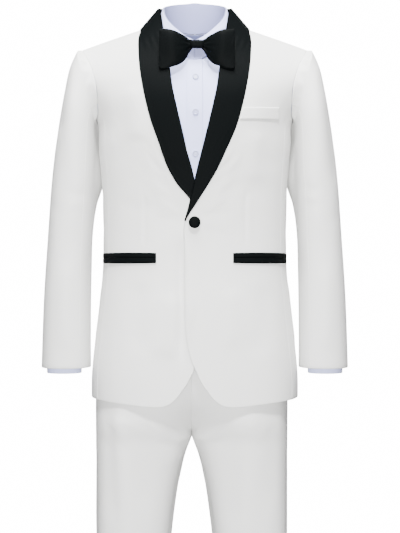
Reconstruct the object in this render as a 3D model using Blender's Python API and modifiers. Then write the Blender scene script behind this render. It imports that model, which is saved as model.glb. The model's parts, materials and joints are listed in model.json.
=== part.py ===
"""A tuxedo worn as a set, hollow, in the pose of a standing figure with its arms down.

Off-white dinner jacket with a black satin shawl collar, white shirt, black bow tie and
off-white trousers. Metres, +Z up, the front toward -Y, the wearer's left at +X. The origin
is the middle of the shoulder line, level with the points where the shoulders meet the neck.

Each piece of cloth is a grid of points on the garment's form and the same grid moved
inwards along the form's own normals, so that neighbours stay parallel along their seam.
The body's form is a stack of rounded ovals, one for each level. Theta runs round a level:
0 is the centre front, 90 degrees the wearer's left side and 180 the centre back. The
wearer's right side is the left side mirrored.
"""
import math

import bmesh
import bpy
from mathutils import Matrix, Vector

# ------------------------------------------------------------------ cloth and seams
SEAM = 0.0003            # gap between pieces that meet at a seam or lie on each other
SUITING = 0.0020         # jacket cloth with its canvas
TROUSERING = 0.0016
SATIN = 0.0016
SHIRTING = 0.0012

COLLECTION = "tuxedo"
FRONT = -1
BACK = 1

# ------------------------------------------------------------------ jacket body
# One row for each level, from under the hem to the shoulder line. z is at the centre;
# away from it a level drops by slope, so the upper levels follow the shoulder.
# Columns: level, z, half_width, front, back, slope, fullness
BODY = (
    (0, -0.7600, 0.2035, 0.1300, 0.122, 0.000, 0.15),
    (1, -0.6800, 0.2026, 0.1295, 0.123, 0.000, 0.15),
    (2, -0.5600, 0.1890, 0.1260, 0.119, 0.000, 0.15),
    (3, -0.4800, 0.1815, 0.1215, 0.103, 0.000, 0.15),
    (4, -0.4000, 0.1810, 0.1195, 0.095, 0.000, 0.15),
    (5, -0.3200, 0.1830, 0.1230, 0.100, 0.000, 0.15),
    (6, -0.2450, 0.1895, 0.1280, 0.112, 0.000, 0.15),
    (7, -0.1950, 0.1920, 0.1275, 0.119, 0.000, 0.15),
    (8, -0.1400, 0.2150, 0.1180, 0.122, 0.060, 0.15),
    (9, -0.0900, 0.2400, 0.0990, 0.117, 0.160, 0.14),
    (10, -0.0500, 0.2540, 0.0760, 0.105, 0.250, 0.13),
    (11, -0.0180, 0.2600, 0.0520, 0.088, 0.320, 0.12),
    (12, 0.0040, 0.2600, 0.0300, 0.066, 0.360, 0.10),
    (13, 0.0120, 0.2600, 0.0140, 0.036, 0.375, 0.10),
    (14, 0.0137, 0.2600, 0.0000, 0.000, 0.379, 0.10),
)
ARMPIT_LEVEL = 7
SHOULDER_LEVEL = 14
NECK_ROUNDING = 0.060    # radius that eases the shoulder slope over the neck

NECK_X = 0.077           # where the jacket's shoulder seam meets its neckline
SHOULDER_X = 0.222       # and where it meets the sleeve
NECK_BACK_Y = 0.072      # centre back of the jacket's neckline

# Front edge of the wearer's left front, from the cutaway hem up the overlap to the
# lapel's tip.
# Columns: z, x
FRONT_EDGE = (
    (-0.7191, 0.0269),
    (-0.6926, 0.0091),
    (-0.6718, -0.0008),
    (-0.6206, -0.0148),
    (-0.5600, -0.0190),
    (-0.5000, -0.0195),
    (-0.4200, -0.0195),
    (-0.3900, -0.0190),
)
GUIDE_X = 0.060          # the lapel edge's grid line ends here on the hem

# Hem height round the jacket, from the rounded front corner to the centre back.
# Columns: theta, z
HEM = (
    (6.7, -0.7191),
    (10.0, -0.7345),
    (14.0, -0.7438),
    (20.5, -0.7460),
    (29.5, -0.7436),
    (44.5, -0.7395),
    (60.0, -0.7365),
    (90.0, -0.7340),
    (130.0, -0.7350),
    (180.0, -0.7370),
)
HEM_CORNER_THETA = 6.7
FRONT_SEAM_THETA = 64.0  # seam between front and side panel, at the hem
BACK_SEAM_THETA = 118.0  # seam between side panel and back, at the hem

# Armhole: how far out it runs, by the share of its height below the shoulder.
ARMHOLE_TOP = -0.050
ARMHOLE_BOTTOM = -0.195
# Columns: share, front_x, back_x
ARMHOLE = (
    (0.00, 0.2220, 0.2220),
    (0.12, 0.2130, 0.2170),
    (0.25, 0.2030, 0.2120),
    (0.55, 0.1900, 0.2035),
    (0.75, 0.1885, 0.1965),
    (0.88, 0.1882, 0.1925),
    (0.95, 0.1888, 0.1905),
    (1.00, 0.1920, 0.1920),
)
UNDERARM_SHARE = 0.93    # below this it turns in to the middle of the side
UNDERARM_FRONT = 125.0   # degrees round the armhole from its top to the panel seams
UNDERARM_BACK = 235.0

# The overlap lifts the wearer's left front off the right one, more where the lapels
# cross as well. Heights are where each lift begins, is full, starts to fade and is gone.
LAP_LIFT = 0.00150
LAPEL_LIFT = 0.00160
LAP_WIDTH = (0.034, 0.090)
LAP_TOP = (-0.300, -0.230)
LAPEL_CROSSING = (-0.440, -0.405, -0.300, -0.230)

BODY_ROWS = 11           # grid rows from hem to underarm
ARM_ROWS = 7             # and from underarm to shoulder
LAPEL_ROW = 6            # the front's grid row at the lapel's tip
LAPEL_COLUMNS_ACROSS = 4
CHEST_COLUMNS = 6        # from the lapel's edge to the side seam
SIDE_COLUMNS = 7
BACK_COLUMNS = 6
NECKLINE_COLUMNS = 4

# ------------------------------------------------------------------ jacket sleeve
# Rings down the sleeve. Outer and inner are its two edges seen from the front.
# Columns: ring, outer_x, outer_z, inner_x, inner_z, front, back
SLEEVE = (
    (1, 0.2310, -0.0520, 0.1950, -0.2010, 0.070, 0.064),
    (2, 0.2455, -0.0840, 0.1958, -0.2080, 0.075, 0.070),
    (3, 0.2556, -0.1250, 0.1962, -0.2170, 0.079, 0.074),
    (4, 0.2637, -0.1700, 0.1963, -0.2320, 0.080, 0.075),
    (5, 0.2720, -0.2237, 0.1963, -0.2580, 0.080, 0.075),
    (6, 0.2800, -0.2900, 0.1970, -0.3050, 0.079, 0.071),
    (7, 0.2850, -0.3465, 0.1995, -0.3530, 0.078, 0.066),
    (8, 0.2900, -0.4200, 0.2024, -0.4220, 0.077, 0.058),
    (9, 0.2945, -0.4850, 0.2040, -0.4860, 0.077, 0.047),
    (10, 0.2980, -0.5445, 0.2050, -0.5450, 0.076, 0.034),
    (11, 0.3005, -0.6100, 0.2055, -0.6100, 0.074, 0.022),
    (12, 0.3025, -0.6760, 0.2055, -0.6760, 0.072, 0.014),
)
SLEEVE_RINGS = 12
SLEEVE_FULLNESS = 0.10
# The sleeve's underside bags towards the body, behind its side. Columns: ring, reach
SLEEVE_BAG = (
    (1, 0.0050),
    (2, 0.0105),
    (3, 0.0128),
    (4, 0.0150),
    (5, 0.0170),
    (6, 0.0200),
    (7, 0.0081),
    (8, 0.0000),
)
BAG_ANGLES = (165.0, 212.0, 280.0)  # where it starts, is full and ends
STEP_OUT = 0.0006        # keeps the sleeve off the panels under the arm
SHIRT_STEP_OUT = 0.0038

# ------------------------------------------------------------------ shawl collar
# Lapel, from its tip at the button to the shoulder: where its roll line and its outer
# edge lie on the front, and how far the roll line rises off the front.
# Columns: roll_x, roll_z, edge_x, edge_z, rise_x, rise_y, rise_z
LAPEL = (
    (-0.0190, -0.3900, -0.0150, -0.3850, 0.0000, 0.0000, 0.0000),
    (-0.0130, -0.3700, -0.0040, -0.3690, 0.0000, 0.0000, 0.0000),
    (-0.0064, -0.3420, 0.0135, -0.3420, 0.0000, 0.0000, 0.0000),
    (-0.0005, -0.3170, 0.0290, -0.3174, 0.0000, 0.0000, 0.0000),
    (0.0064, -0.2870, 0.0450, -0.2890, 0.0000, 0.0000, 0.0000),
    (0.0140, -0.2570, 0.0600, -0.2570, 0.0000, 0.0000, 0.0000),
    (0.0255, -0.2110, 0.0800, -0.2110, 0.0000, 0.0000, 0.0000),
    (0.0360, -0.1660, 0.0925, -0.1660, 0.0000, 0.0000, 0.0000),
    (0.0425, -0.1355, 0.1000, -0.1320, 0.0000, 0.0000, 0.0000),
    (0.0485, -0.0995, 0.1060, -0.0960, -0.0005, -0.0005, 0.0010),
    (0.0580, -0.0640, 0.1090, -0.0640, -0.0015, -0.0010, 0.0060),
    (0.0680, -0.0300, 0.1100, -0.0380, -0.0040, -0.0015, 0.0160),
)
# Collar, from the shoulder seam to the centre back, in plan.
# Columns: roll_x, roll_y, edge_x, edge_y, rise_x, rise_y, rise_z
COLLAR = (
    (0.0770, 0.0000, 0.1080, 0.0000, -0.0050, 0.0000, 0.0310),
    (0.0732, 0.0223, 0.1040, 0.0260, -0.0045, 0.0010, 0.0340),
    (0.0623, 0.0423, 0.0900, 0.0510, -0.0035, 0.0025, 0.0360),
    (0.0453, 0.0582, 0.0660, 0.0700, -0.0020, 0.0040, 0.0370),
    (0.0238, 0.0685, 0.0350, 0.0810, -0.0010, 0.0050, 0.0370),
    (0.0000, 0.0720, 0.0000, 0.0840, 0.0000, 0.0055, 0.0370),
)
COLLAR_LIFT = 0.0004     # extra room between the collar's fall and the back
STAND_FIRST_ROW = 10     # lapel row where the collar stand begins
STAND_ROWS = 2

# ------------------------------------------------------------------ pockets and button
HIP_POCKET_X = (0.073, 0.178)
HIP_POCKET_Z = -0.462
JET_HEIGHT = 0.0092
JET_THICKNESS = 0.0014
JET_GAP = 0.0004
JET_ROWS = 2
LAID_CLEAR = 0.0006      # between a panel's flat faces and a strip that lies across them

WELT_TOP = -0.175
WELT_BOTTOM = -0.199
WELT_START = 0.0011      # beside the lapel's edge
WELT_END_X = 0.162
WELT_RISE = 0.003        # the welt climbs this much toward the arm
WELT_THICKNESS = 0.0014
WELT_ROWS = 3
WELT_CLEAR = 0.0013      # more room where the chest curves back to the arm

BUTTON_Z = -0.394
BUTTON_RADIUS = 0.011
BUTTON_HEIGHT = 0.0052
BUTTON_SHANK_RADIUS = 0.0025
BUTTON_SHANK_LENGTH = 0.0022

# ------------------------------------------------------------------ shirt
# How far the shirt lies inside the jacket's form, from its tails to its shoulders.
# Columns: z, inset
SHIRT_INSET = (
    (-0.7600, 0.034),
    (-0.6000, 0.034),
    (-0.5400, 0.030),
    (-0.4600, 0.017),
    (-0.4000, 0.011),
    (0.0200, 0.011),
)
SHIRT_HEM = -0.680
SHIRT_NECK_X = 0.064
SHIRT_NECK_FRONT = -0.083
SHIRT_NECK_BACK = 0.063
PLACKET_HALF = 0.0155
PLACKET_LIFT = SHIRTING + 2 * SEAM
PLACKET_SHORT = 0.0025   # it stops this far below the neckline
SHIRT_ROWS = 7
SHIRT_ARM_ANGLES = (180, 168, 155, 135, 100, 50, 0)  # round half the armhole, from below
SHIRT_ARM_ROWS = len(SHIRT_ARM_ANGLES) - 1
SHIRT_NECK_COLUMNS = 4
SHIRT_SHOULDER_COLUMNS = 3
SHIRT_SIDE_THETA = 90.0
# How far the shirt sleeve lies inside the jacket's, ring by ring.
# Columns: ring, inset
SHIRT_SLEEVE = (
    (1, 0.017),
    (2, 0.015),
    (3, 0.013),
    (4, 0.011),
    (10, 0.010),
)
SHIRT_CUFF_TOP = -0.622
SHIRT_CUFF_BOTTOM = -0.6855
SHIRT_CUFF_CENTRE = (0.2555, -0.0290)
SHIRT_CUFF_HALF = (0.0340, 0.0360)
SHIRT_CUFF_POINTS = 24
SHIRT_BUTTONS_Z = (-0.1150, -0.1840, -0.2630, -0.3420, -0.4210, -0.5000)
SHIRT_BUTTON_X = 0.002
SHIRT_BUTTON_CLEAR = 0.0005
SHIRT_BUTTON_RADIUS = 0.0058
SHIRT_BUTTON_HEIGHT = 0.0022

# Shirt collar: the fold line round the neck, and the edge of the turned-down leaf.
# Columns: turn, fold_z
COLLAR_TURN = (
    (0.0, -0.0410),
    (15.0, -0.0270),
    (30.0, -0.0110),
    (60.0, 0.0160),
    (90.0, 0.0330),
    (135.0, 0.0470),
    (180.0, 0.0540),
)
COLLAR_FOOT_LIFT = 0.0025  # at the throat; the stand's foot clears the shirt's neckline
COLLAR_SPANS = 12        # grid spans from the throat to the nape
STAND_START = 1.0        # turn of the stand's front ends
COLLAR_FOLD_X = 0.0615
COLLAR_FOLD_FRONT = 0.0735
COLLAR_FOLD_BACK = 0.0605
# Columns: turn, edge_x, edge_y, edge_z
LEAF = (
    (6.0, 0.0420, -0.0870, -0.0850),
    (20.0, 0.0520, -0.0790, -0.0690),
    (40.0, 0.0605, -0.0600, -0.0420),
    (65.0, 0.0675, -0.0330, -0.0140),
    (90.0, 0.0690, 0.0000, -0.0020),
    (120.0, 0.0600, 0.0345, 0.0070),
    (150.0, 0.0350, 0.0592, 0.0120),
    (180.0, 0.0000, 0.0683, 0.0140),
)
LEAF_ROWS = 4
LEAF_BULGE = 0.0018      # how far the leaf rolls out between its fold and its edge

# ------------------------------------------------------------------ bow tie
BOW_Z = -0.0505
BOW_X = 0.0045
KNOT_HALF = (0.0142, 0.0085, 0.0082)
KNOT_POWER = 0.6         # under 1 squares the knot's ends
# Rows from the wing's root outwards. forward is its depth from the knot's middle.
# Columns: out, forward, top, bottom, thickness
WING = (
    (0.0000, 0.0000, 0.0075, -0.0120, 0.0080),
    (0.0050, -0.0055, 0.0105, -0.0225, 0.0095),
    (0.0120, -0.0110, 0.0150, -0.0320, 0.0105),
    (0.0220, -0.0160, 0.0210, -0.0405, 0.0110),
    (0.0340, -0.0190, 0.0250, -0.0465, 0.0105),
    (0.0470, -0.0195, 0.0268, -0.0495, 0.0085),
    (0.0575, -0.0180, 0.0262, -0.0500, 0.0055),
)
WING_START = 0.0146      # from the knot's centre
WING_POINTS = 16
BOW_BAND_START = 6.0      # turn of its ends, behind the knot
BOW_BAND_HALF = 0.0080
BOW_BAND_THICKNESS = 0.0010

# ------------------------------------------------------------------ trousers
TROUSER_X = -0.006       # the legs stand slightly toward the wearer's right
# Columns: z, outer, front, back, inner, fork
TROUSERS = (
    (-1.5750, 0.1680, 0.0600, 0.0680, 0.0680, 1.000),
    (-1.4200, 0.1720, 0.0650, 0.0720, 0.0650, 1.000),
    (-1.2600, 0.1780, 0.0730, 0.0790, 0.0580, 1.000),
    (-1.1200, 0.1840, 0.0820, 0.0860, 0.0500, 1.000),
    (-1.0060, 0.1882, 0.0890, 0.0930, 0.0408, 1.000),
    (-0.9080, 0.1885, 0.0960, 0.1000, 0.0277, 1.000),
    (-0.8430, 0.1888, 0.1010, 0.1050, 0.0148, 1.000),
    (-0.8070, 0.1890, 0.1050, 0.1080, 0.0040, 1.000),
    (-0.7750, 0.1892, 0.1080, 0.1100, 0.0020, 0.560),
    (-0.7450, 0.1895, 0.1110, 0.1110, 0.0020, 0.240),
    (-0.7100, 0.1885, 0.1130, 0.1110, 0.0020, 0.060),
    (-0.6700, 0.1865, 0.1130, 0.1100, 0.0020, 0.000),
    (-0.6200, 0.1800, 0.1100, 0.1030, 0.0020, 0.000),
    (-0.5640, 0.1700, 0.1050, 0.0900, 0.0020, 0.000),
)
TROUSER_FULLNESS = 0.15
FORK_DEPTH = 0.5         # keeps the depth where the hips' form turns into the legs
TROUSER_ACROSS = 8
WAISTBAND_TOP = -0.5250
WAISTBAND_BOTTOM = -0.5637
WAISTBAND_TAPER = 0.0020
WAISTBAND_COLUMNS = 36

# ------------------------------------------------------------------ colours
MATERIALS = {
    "suiting_white": ((0.800, 0.800, 0.785), 0.85),
    "trouser_white": ((0.790, 0.790, 0.775), 0.85),
    "satin_black": ((0.012, 0.014, 0.016), 0.38),
    "shirt_white": ((0.800, 0.800, 0.870), 0.80),
    "button_white": ((0.780, 0.780, 0.820), 0.35),
}


# ------------------------------------------------------------------ curves and tables
def smooth(rows, key):
    """Read a table at any value of its first column, on a smooth curve through its rows."""
    last = len(rows) - 1
    step = 0
    while step < last - 1 and key > rows[step + 1][0]:
        step += 1
    low, high = rows[step], rows[step + 1]
    span = high[0] - low[0]
    share = min(max((key - low[0]) / span, 0.0), 1.0)
    values = []
    for column in range(1, len(low)):
        rate = (high[column] - low[column]) / span
        before = slope_at(rows, step, column, rate)
        after = slope_at(rows, step + 1, column, rate)
        values.append(hermite(low[column], high[column], before * span, after * span, share))
    return values


def slope_at(rows, index, column, edge_rate):
    """A table column's rate of change at a row, from the rows on both sides."""
    if index == 0 or index == len(rows) - 1:
        return edge_rate
    before, after = rows[index - 1], rows[index + 1]
    return (after[column] - before[column]) / (after[0] - before[0])


def hermite(start, end, start_slope, end_slope, share):
    """Cubic between two values with given slopes."""
    square = share * share
    cube = square * share
    return ((2 * cube - 3 * square + 1) * start + (cube - 2 * square + share) * start_slope
            + (3 * square - 2 * cube) * end + (cube - square) * end_slope)


def mix(start, end, share):
    return start + (end - start) * share


def ease(low, high, value):
    """0 below low, 1 above high and smooth between."""
    share = min(max((value - low) / (high - low), 0.0), 1.0)
    return share * share * (3 - 2 * share)


def steps(start, end, count):
    return [mix(start, end, index / count) for index in range(count + 1)]


def bisect(function, low, high, rounds=40):
    """Where an increasing function of one value crosses zero."""
    for _ in range(rounds):
        middle = (low + high) / 2
        if function(middle) < 0:
            low = middle
        else:
            high = middle
    return (low + high) / 2


# ------------------------------------------------------------------ the body's form
def oval(theta, half_width, front, back, fullness):
    """A point on a rounded oval whose front and back have their own depths."""
    cos, sin = math.cos(theta), math.sin(theta)
    depth = front if cos > 0 else back
    return (half_width * sin * (1 + fullness * cos * cos),
            -depth * cos * (1 + fullness * sin * sin))


def theta_for_x(x, half_width, fullness, side=FRONT):
    """The angle at which an oval reaches x, on its front or its back half."""
    share = min(abs(x) / half_width, 1.0)

    def too_far(angle):
        cos = math.cos(angle)
        return math.sin(angle) * (1 + fullness * cos * cos) - share

    angle = math.copysign(bisect(too_far, 0.0, math.pi / 2), x)
    return angle if side == FRONT else math.pi - angle


class Layer:
    """The jacket's form, or one inset from it, with a point for each theta and level."""

    def __init__(self, step_out, inset_rows=None):
        self.step_out = step_out
        self.inset_rows = inset_rows

    def inset(self, z):
        return smooth(self.inset_rows, z)[0] if self.inset_rows else 0.0

    def section(self, level):
        z, half_width, front, back, slope, fullness = smooth(BODY, level)
        inset = self.inset(z)
        fade = 0.02
        front -= inset * (1 - math.exp(-front / fade))
        back -= inset * (1 - math.exp(-back / fade))
        z -= inset * ease(ARMPIT_LEVEL, SHOULDER_LEVEL, level)
        return z, half_width - inset, front, back, slope, fullness

    def point(self, theta, level, lift=0.0):
        z, half_width, front, back, slope, fullness = self.section(level)
        x, y = oval(theta, half_width, front, back, fullness)
        drop = slope * (math.hypot(x, NECK_ROUNDING) - NECK_ROUNDING)
        place = Vector((x, y, z - drop))
        return place + self.normal(theta, level) * lift if lift else place

    def normal(self, theta, level):
        """Outward direction, from neighbouring points. It points up on the shoulder line."""
        step = 0.01
        if level > SHOULDER_LEVEL - step:
            x = self.point(theta, SHOULDER_LEVEL).x
            slope = self.section(SHOULDER_LEVEL)[4] * x / math.hypot(x, NECK_ROUNDING)
            return Vector((slope, 0, 1)).normalized()
        round_way = self.point(theta + step, level) - self.point(theta - step, level)
        up_low = max(level - step, 0)
        up_way = self.point(theta, level + step) - self.point(theta, up_low)
        return round_way.cross(up_way).normalized()

    def level_at(self, x, z):
        """The level that passes through x and z."""
        def too_high(level):
            height, _, _, _, slope, _ = self.section(level)
            return height - slope * (math.hypot(x, NECK_ROUNDING) - NECK_ROUNDING) - z
        return bisect(too_high, 0, SHOULDER_LEVEL)

    def at(self, x, z, side=FRONT):
        """(theta, level) of the place at x and z on the front or back."""
        level = self.level_at(x, z)
        _, half_width, _, _, _, fullness = self.section(level)
        return theta_for_x(x, half_width, fullness, side), level

    def on_shoulder(self, x, y):
        """(theta, level) of the place at x and y above the armpits."""
        side = BACK if y > 0 else FRONT

        def theta_at(level):
            _, half_width, _, _, _, fullness = self.section(level)
            return theta_for_x(x, half_width, fullness, side)

        def too_shallow(level):
            return abs(y) - abs(self.point(theta_at(level), level).y)

        level = bisect(too_shallow, ARMPIT_LEVEL + 1, SHOULDER_LEVEL)
        return theta_at(level), level

    def armhole(self, angle):
        """(theta, level) round the armhole, in degrees from its top toward the front."""
        share = (1 - math.cos(math.radians(angle))) / 2
        inset = self.inset(ARMHOLE_TOP)
        front_x, back_x = smooth(ARMHOLE, share)
        z = mix(ARMHOLE_TOP - inset, ARMHOLE_BOTTOM + inset, share)
        if angle < 180:
            theta, level = self.at(front_x - inset, z, FRONT)
        else:
            theta, level = self.at(back_x - inset, z, BACK)
        return mix(theta, math.pi / 2, ease(UNDERARM_SHARE, 1, share)), level


JACKET = Layer(STEP_OUT)
SHIRT = Layer(SHIRT_STEP_OUT, SHIRT_INSET)


# ------------------------------------------------------------------ grids of points
def coons(left, right, bottom, top):
    """Fill a grid between its four borders, which are lists of (theta, level)."""
    rows, columns = len(left) - 1, len(bottom) - 1
    grid = []
    for i in range(rows + 1):
        v = i / rows
        row = []
        for j in range(columns + 1):
            u = j / columns
            place = []
            for k in range(2):
                sides = mix(left[i][k], right[i][k], u) + mix(bottom[j][k], top[j][k], v)
                corners = mix(mix(bottom[0][k], bottom[-1][k], u),
                              mix(top[0][k], top[-1][k], u), v)
                place.append(sides - corners)
            row.append(tuple(place))
        grid.append(row)
    return grid


def grid_normals(grid, ring=False):
    """Outward directions of a grid whose columns run round the body and rows run up."""
    rows, columns = len(grid), len(grid[0])
    normals = []
    for i in range(rows):
        below, above = grid[max(i - 1, 0)], grid[min(i + 1, rows - 1)]
        row = []
        for j in range(columns):
            before, after = max(j - 1, 0), min(j + 1, columns - 1)
            if ring and j in (0, columns - 1):
                before, after = columns - 2, 1
            round_way = grid[i][after] - grid[i][before]
            row.append(round_way.cross(above[j] - below[j]).normalized())
        normals.append(row)
    return normals


def trimmed(grid, by=SEAM / 2, ring=False):
    """Draw the border points in, so that neighbours stay a seam's gap apart."""
    rows, columns = len(grid), len(grid[0])
    moved = [list(row) for row in grid]
    for j in range(columns):
        moved[0][j] = toward(moved[0][j], grid[1][j], by)
        moved[-1][j] = toward(moved[-1][j], grid[-2][j], by)
    if not ring:
        for i in range(rows):
            moved[i][0] = toward(moved[i][0], grid[i][1], by)
            moved[i][-1] = toward(moved[i][-1], grid[i][-2], by)
    return moved


def toward(point, target, by):
    way = target - point
    return point + way.normalized() * by if way.length > by else point


# ------------------------------------------------------------------ objects
def material(name):
    if name in bpy.data.materials:
        return bpy.data.materials[name]
    colour, roughness = MATERIALS[name]
    made = bpy.data.materials.new(name)
    made.use_nodes = True
    shader = made.node_tree.nodes["Principled BSDF"]
    shader.inputs["Base Color"].default_value = (*colour, 1)
    shader.inputs["Roughness"].default_value = roughness
    shader.inputs["Metallic"].default_value = 0.0
    made.diffuse_color = (*colour, 1)
    return made


def add_object(name, bm, finish, location=(0, 0, 0)):
    mesh = bpy.data.meshes.new(name)
    bm.to_mesh(mesh)
    bm.free()
    mesh.shade_smooth()
    mesh.set_sharp_from_angle(angle=math.radians(40))
    mesh.materials.append(material(finish))
    made = bpy.data.objects.new(name, mesh)
    made.location = location
    bpy.data.collections[COLLECTION].objects.link(made)
    return made


def cloth(name, points, thickness, finish, normals=None, mirrored=False, ring=False):
    """One piece of cloth: a grid of outer points, the same grid moved in, and its rims."""
    normals = normals or grid_normals(points, ring)
    rows, columns = len(points), len(points[0]) - (1 if ring else 0)
    bm = bmesh.new()
    outer = [[bm.verts.new(points[i][j]) for j in range(columns)] for i in range(rows)]
    inner = [[bm.verts.new(points[i][j] - normals[i][j] * thickness)
              for j in range(columns)] for i in range(rows)]

    def quads(first, second):
        """Join two rows of vertices, round to the start on a ring."""
        for j in range(columns if ring else columns - 1):
            after = (j + 1) % columns
            bm.faces.new((first[j], first[after], second[after], second[j]))

    for i in range(rows - 1):
        quads(outer[i], outer[i + 1])
        quads(inner[i + 1], inner[i])
    quads(inner[0], outer[0])
    quads(outer[-1], inner[-1])
    if not ring:
        for i in range(rows - 1):
            bm.faces.new((inner[i][0], outer[i][0], outer[i + 1][0], inner[i + 1][0]))
            bm.faces.new((outer[i][-1], inner[i][-1], inner[i + 1][-1], outer[i + 1][-1]))
    if mirrored:
        for vert in bm.verts:
            vert.co.x = -vert.co.x
        bmesh.ops.reverse_faces(bm, faces=bm.faces)
    return add_object(name, bm, finish)


# ------------------------------------------------------------------ jacket
def overlap_lift(point, over):
    """How far a front moves out, or in, where it laps over the other one."""
    low, rising, falling, high = LAPEL_CROSSING
    crossing = ease(low, rising, point.z) * (1 - ease(falling, high, point.z))
    lap = 1 - ease(*LAP_TOP, point.z)
    middle = 1 - ease(*LAP_WIDTH, abs(point.x))
    return (LAP_LIFT * lap + LAPEL_LIFT * crossing) * middle * (1 if over else -1)


def jacket_point(place, lift=0.0, over=True):
    point = JACKET.point(*place)
    return point + JACKET.normal(*place) * (lift + overlap_lift(point, over))


def arm_angles():
    """Angles round the armhole, shared by the panels and the sleeve."""
    return (steps(0, UNDERARM_FRONT, ARM_ROWS),
            steps(UNDERARM_FRONT, UNDERARM_BACK, SIDE_COLUMNS),
            steps(UNDERARM_BACK, 360, ARM_ROWS))


def hem_place(theta_degrees):
    theta = math.radians(theta_degrees)
    height = smooth(HEM, theta_degrees)[0]
    return theta, JACKET.level_at(0, height)


def seam_places(hem_theta, top):
    """A panel seam from the hem up to a place on the armhole."""
    bottom = hem_place(hem_theta)
    places = []
    for share in steps(0, 1, BODY_ROWS):
        places.append((mix(bottom[0], top[0], share), mix(bottom[1], top[1], share)))
    return places


def front_edge_places():
    """The front's inner border up to the lapel's tip, one place for each grid row."""
    heights = steps(FRONT_EDGE[0][0], FRONT_EDGE[-1][0], LAPEL_ROW)
    return [JACKET.at(smooth(FRONT_EDGE, z)[0], z) for z in heights]


def guide_places(tip_edge, hem_angle):
    """The grid line that runs down from the lapel's edge to the hem."""
    bottom = hem_place(hem_angle)
    places = []
    for share in steps(0, 1, LAPEL_ROW):
        bend = share * share
        places.append((mix(bottom[0], tip_edge[0], bend), mix(bottom[1], tip_edge[1], share)))
    return places


def shoulder_place(layer, x, side=FRONT):
    _, half_width, _, _, _, fullness = layer.section(SHOULDER_LEVEL)
    return theta_for_x(x, half_width, fullness, side), SHOULDER_LEVEL


def jacket_front_places():
    """The front's grid. Its first columns lie under the lapel and end at its edge."""
    front_arm, _, _ = arm_angles()
    arm = [JACKET.armhole(angle) for angle in reversed(front_arm)]
    outer = seam_places(FRONT_SEAM_THETA, arm[0])[:-1] + arm
    outer[-1] = shoulder_place(JACKET, SHOULDER_X)

    guide_angle = math.degrees(theta_for_x(GUIDE_X, BODY[0][2], BODY[0][6]))
    rows = lapel_rows()
    rolls = front_edge_places()[:-1] + [roll for roll, _, _ in rows]
    edges = guide_places(rows[0][1], guide_angle)[:-1] + [edge for _, edge, _ in rows]

    lapel_hem = [hem_place(angle) for angle in
                 steps(HEM_CORNER_THETA, guide_angle, LAPEL_COLUMNS_ACROSS)]
    chest_hem = [hem_place(angle) for angle in
                 steps(guide_angle, FRONT_SEAM_THETA, CHEST_COLUMNS)]
    lapel_top = [shoulder_place(JACKET, x) for x in
                 steps(NECK_X, COLLAR[0][2], LAPEL_COLUMNS_ACROSS)]
    chest_top = [shoulder_place(JACKET, x) for x in
                 steps(COLLAR[0][2], SHOULDER_X, CHEST_COLUMNS)]
    lapel = coons(rolls, edges, lapel_hem, lapel_top)
    chest = coons(edges, outer, chest_hem, chest_top)
    return [near + far[1:] for near, far in zip(lapel, chest)]


def jacket_side_places():
    _, underarm, _ = arm_angles()
    top = [JACKET.armhole(angle) for angle in underarm]
    bottom = [hem_place(angle) for angle in
              steps(FRONT_SEAM_THETA, BACK_SEAM_THETA, SIDE_COLUMNS)]
    left = seam_places(FRONT_SEAM_THETA, top[0])
    right = seam_places(BACK_SEAM_THETA, top[-1])
    return coons(left, right, bottom, top)


def back_neckline(layer, neck_x, neck_y, count):
    """From the shoulder seam round to the centre back."""
    places = []
    for turn in steps(0, math.pi / 2, count):
        x, y = neck_x * math.cos(turn), neck_y * math.sin(turn)
        places.append(layer.on_shoulder(max(x, 0.0), y))
    places[0] = shoulder_place(layer, neck_x, BACK)
    places[-1] = (math.pi, places[-1][1])
    return places


def centre_back_places(hem_level, arm_level, neck_level, rows, arm_rows):
    """Up the centre back, with the row at the underarm level all the way round."""
    levels = steps(hem_level, arm_level, rows)[:-1] + steps(arm_level, neck_level, arm_rows)
    return [(math.pi, level) for level in levels]


def jacket_back_places():
    _, _, back_arm = arm_angles()
    arm = [JACKET.armhole(angle) for angle in back_arm]
    arm[-1] = shoulder_place(JACKET, SHOULDER_X, BACK)
    outer = seam_places(BACK_SEAM_THETA, arm[0])[:-1] + arm
    columns = BACK_COLUMNS + NECKLINE_COLUMNS
    bottom = [hem_place(angle) for angle in steps(BACK_SEAM_THETA, 180, columns)]
    shoulder = [shoulder_place(JACKET, x, BACK) for x in
                steps(SHOULDER_X, NECK_X, BACK_COLUMNS)]
    top = shoulder[:-1] + back_neckline(JACKET, NECK_X, NECK_BACK_Y, NECKLINE_COLUMNS)
    inner = centre_back_places(bottom[-1][1], arm[0][1], top[-1][1], BODY_ROWS, ARM_ROWS)
    return coons(outer, inner, bottom, top)


def jacket_front_grid(over):
    """The points of a front, as on the wearer's left."""
    return [[jacket_point(place, 0, over) for place in row] for row in jacket_front_places()]


def panel(layer, places, name, thickness, finish, mirrored=False, points=None):
    """A body panel whose inner side follows the form's own normals."""
    points = points or [[layer.point(*place) for place in row] for row in places]
    normals = [[layer.normal(*place) for place in row] for row in places]
    return cloth(name, trimmed(points), thickness, finish, normals, mirrored)


def build_jacket_body():
    front, flank, back = jacket_front_places(), jacket_side_places(), jacket_back_places()
    for side, over in (("left", True), ("right", False)):
        panel(JACKET, front, "jacket_front_" + side, SUITING, "suiting_white", not over,
              jacket_front_grid(over))
        panel(JACKET, flank, "jacket_side_" + side, SUITING, "suiting_white", not over)
        panel(JACKET, back, "jacket_back_" + side, SUITING, "suiting_white", not over)


# ------------------------------------------------------------------ sleeves
def sleeve_bag(ring, angle, inset):
    """How far the jacket's sleeve bags. The shirt's, inset in it, hangs straight."""
    if inset:
        return 0.0
    start, full, end = BAG_ANGLES
    share = ease(start, full, angle) * (1 - ease(full, end, angle))
    return smooth(SLEEVE_BAG, ring)[0] * share


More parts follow.
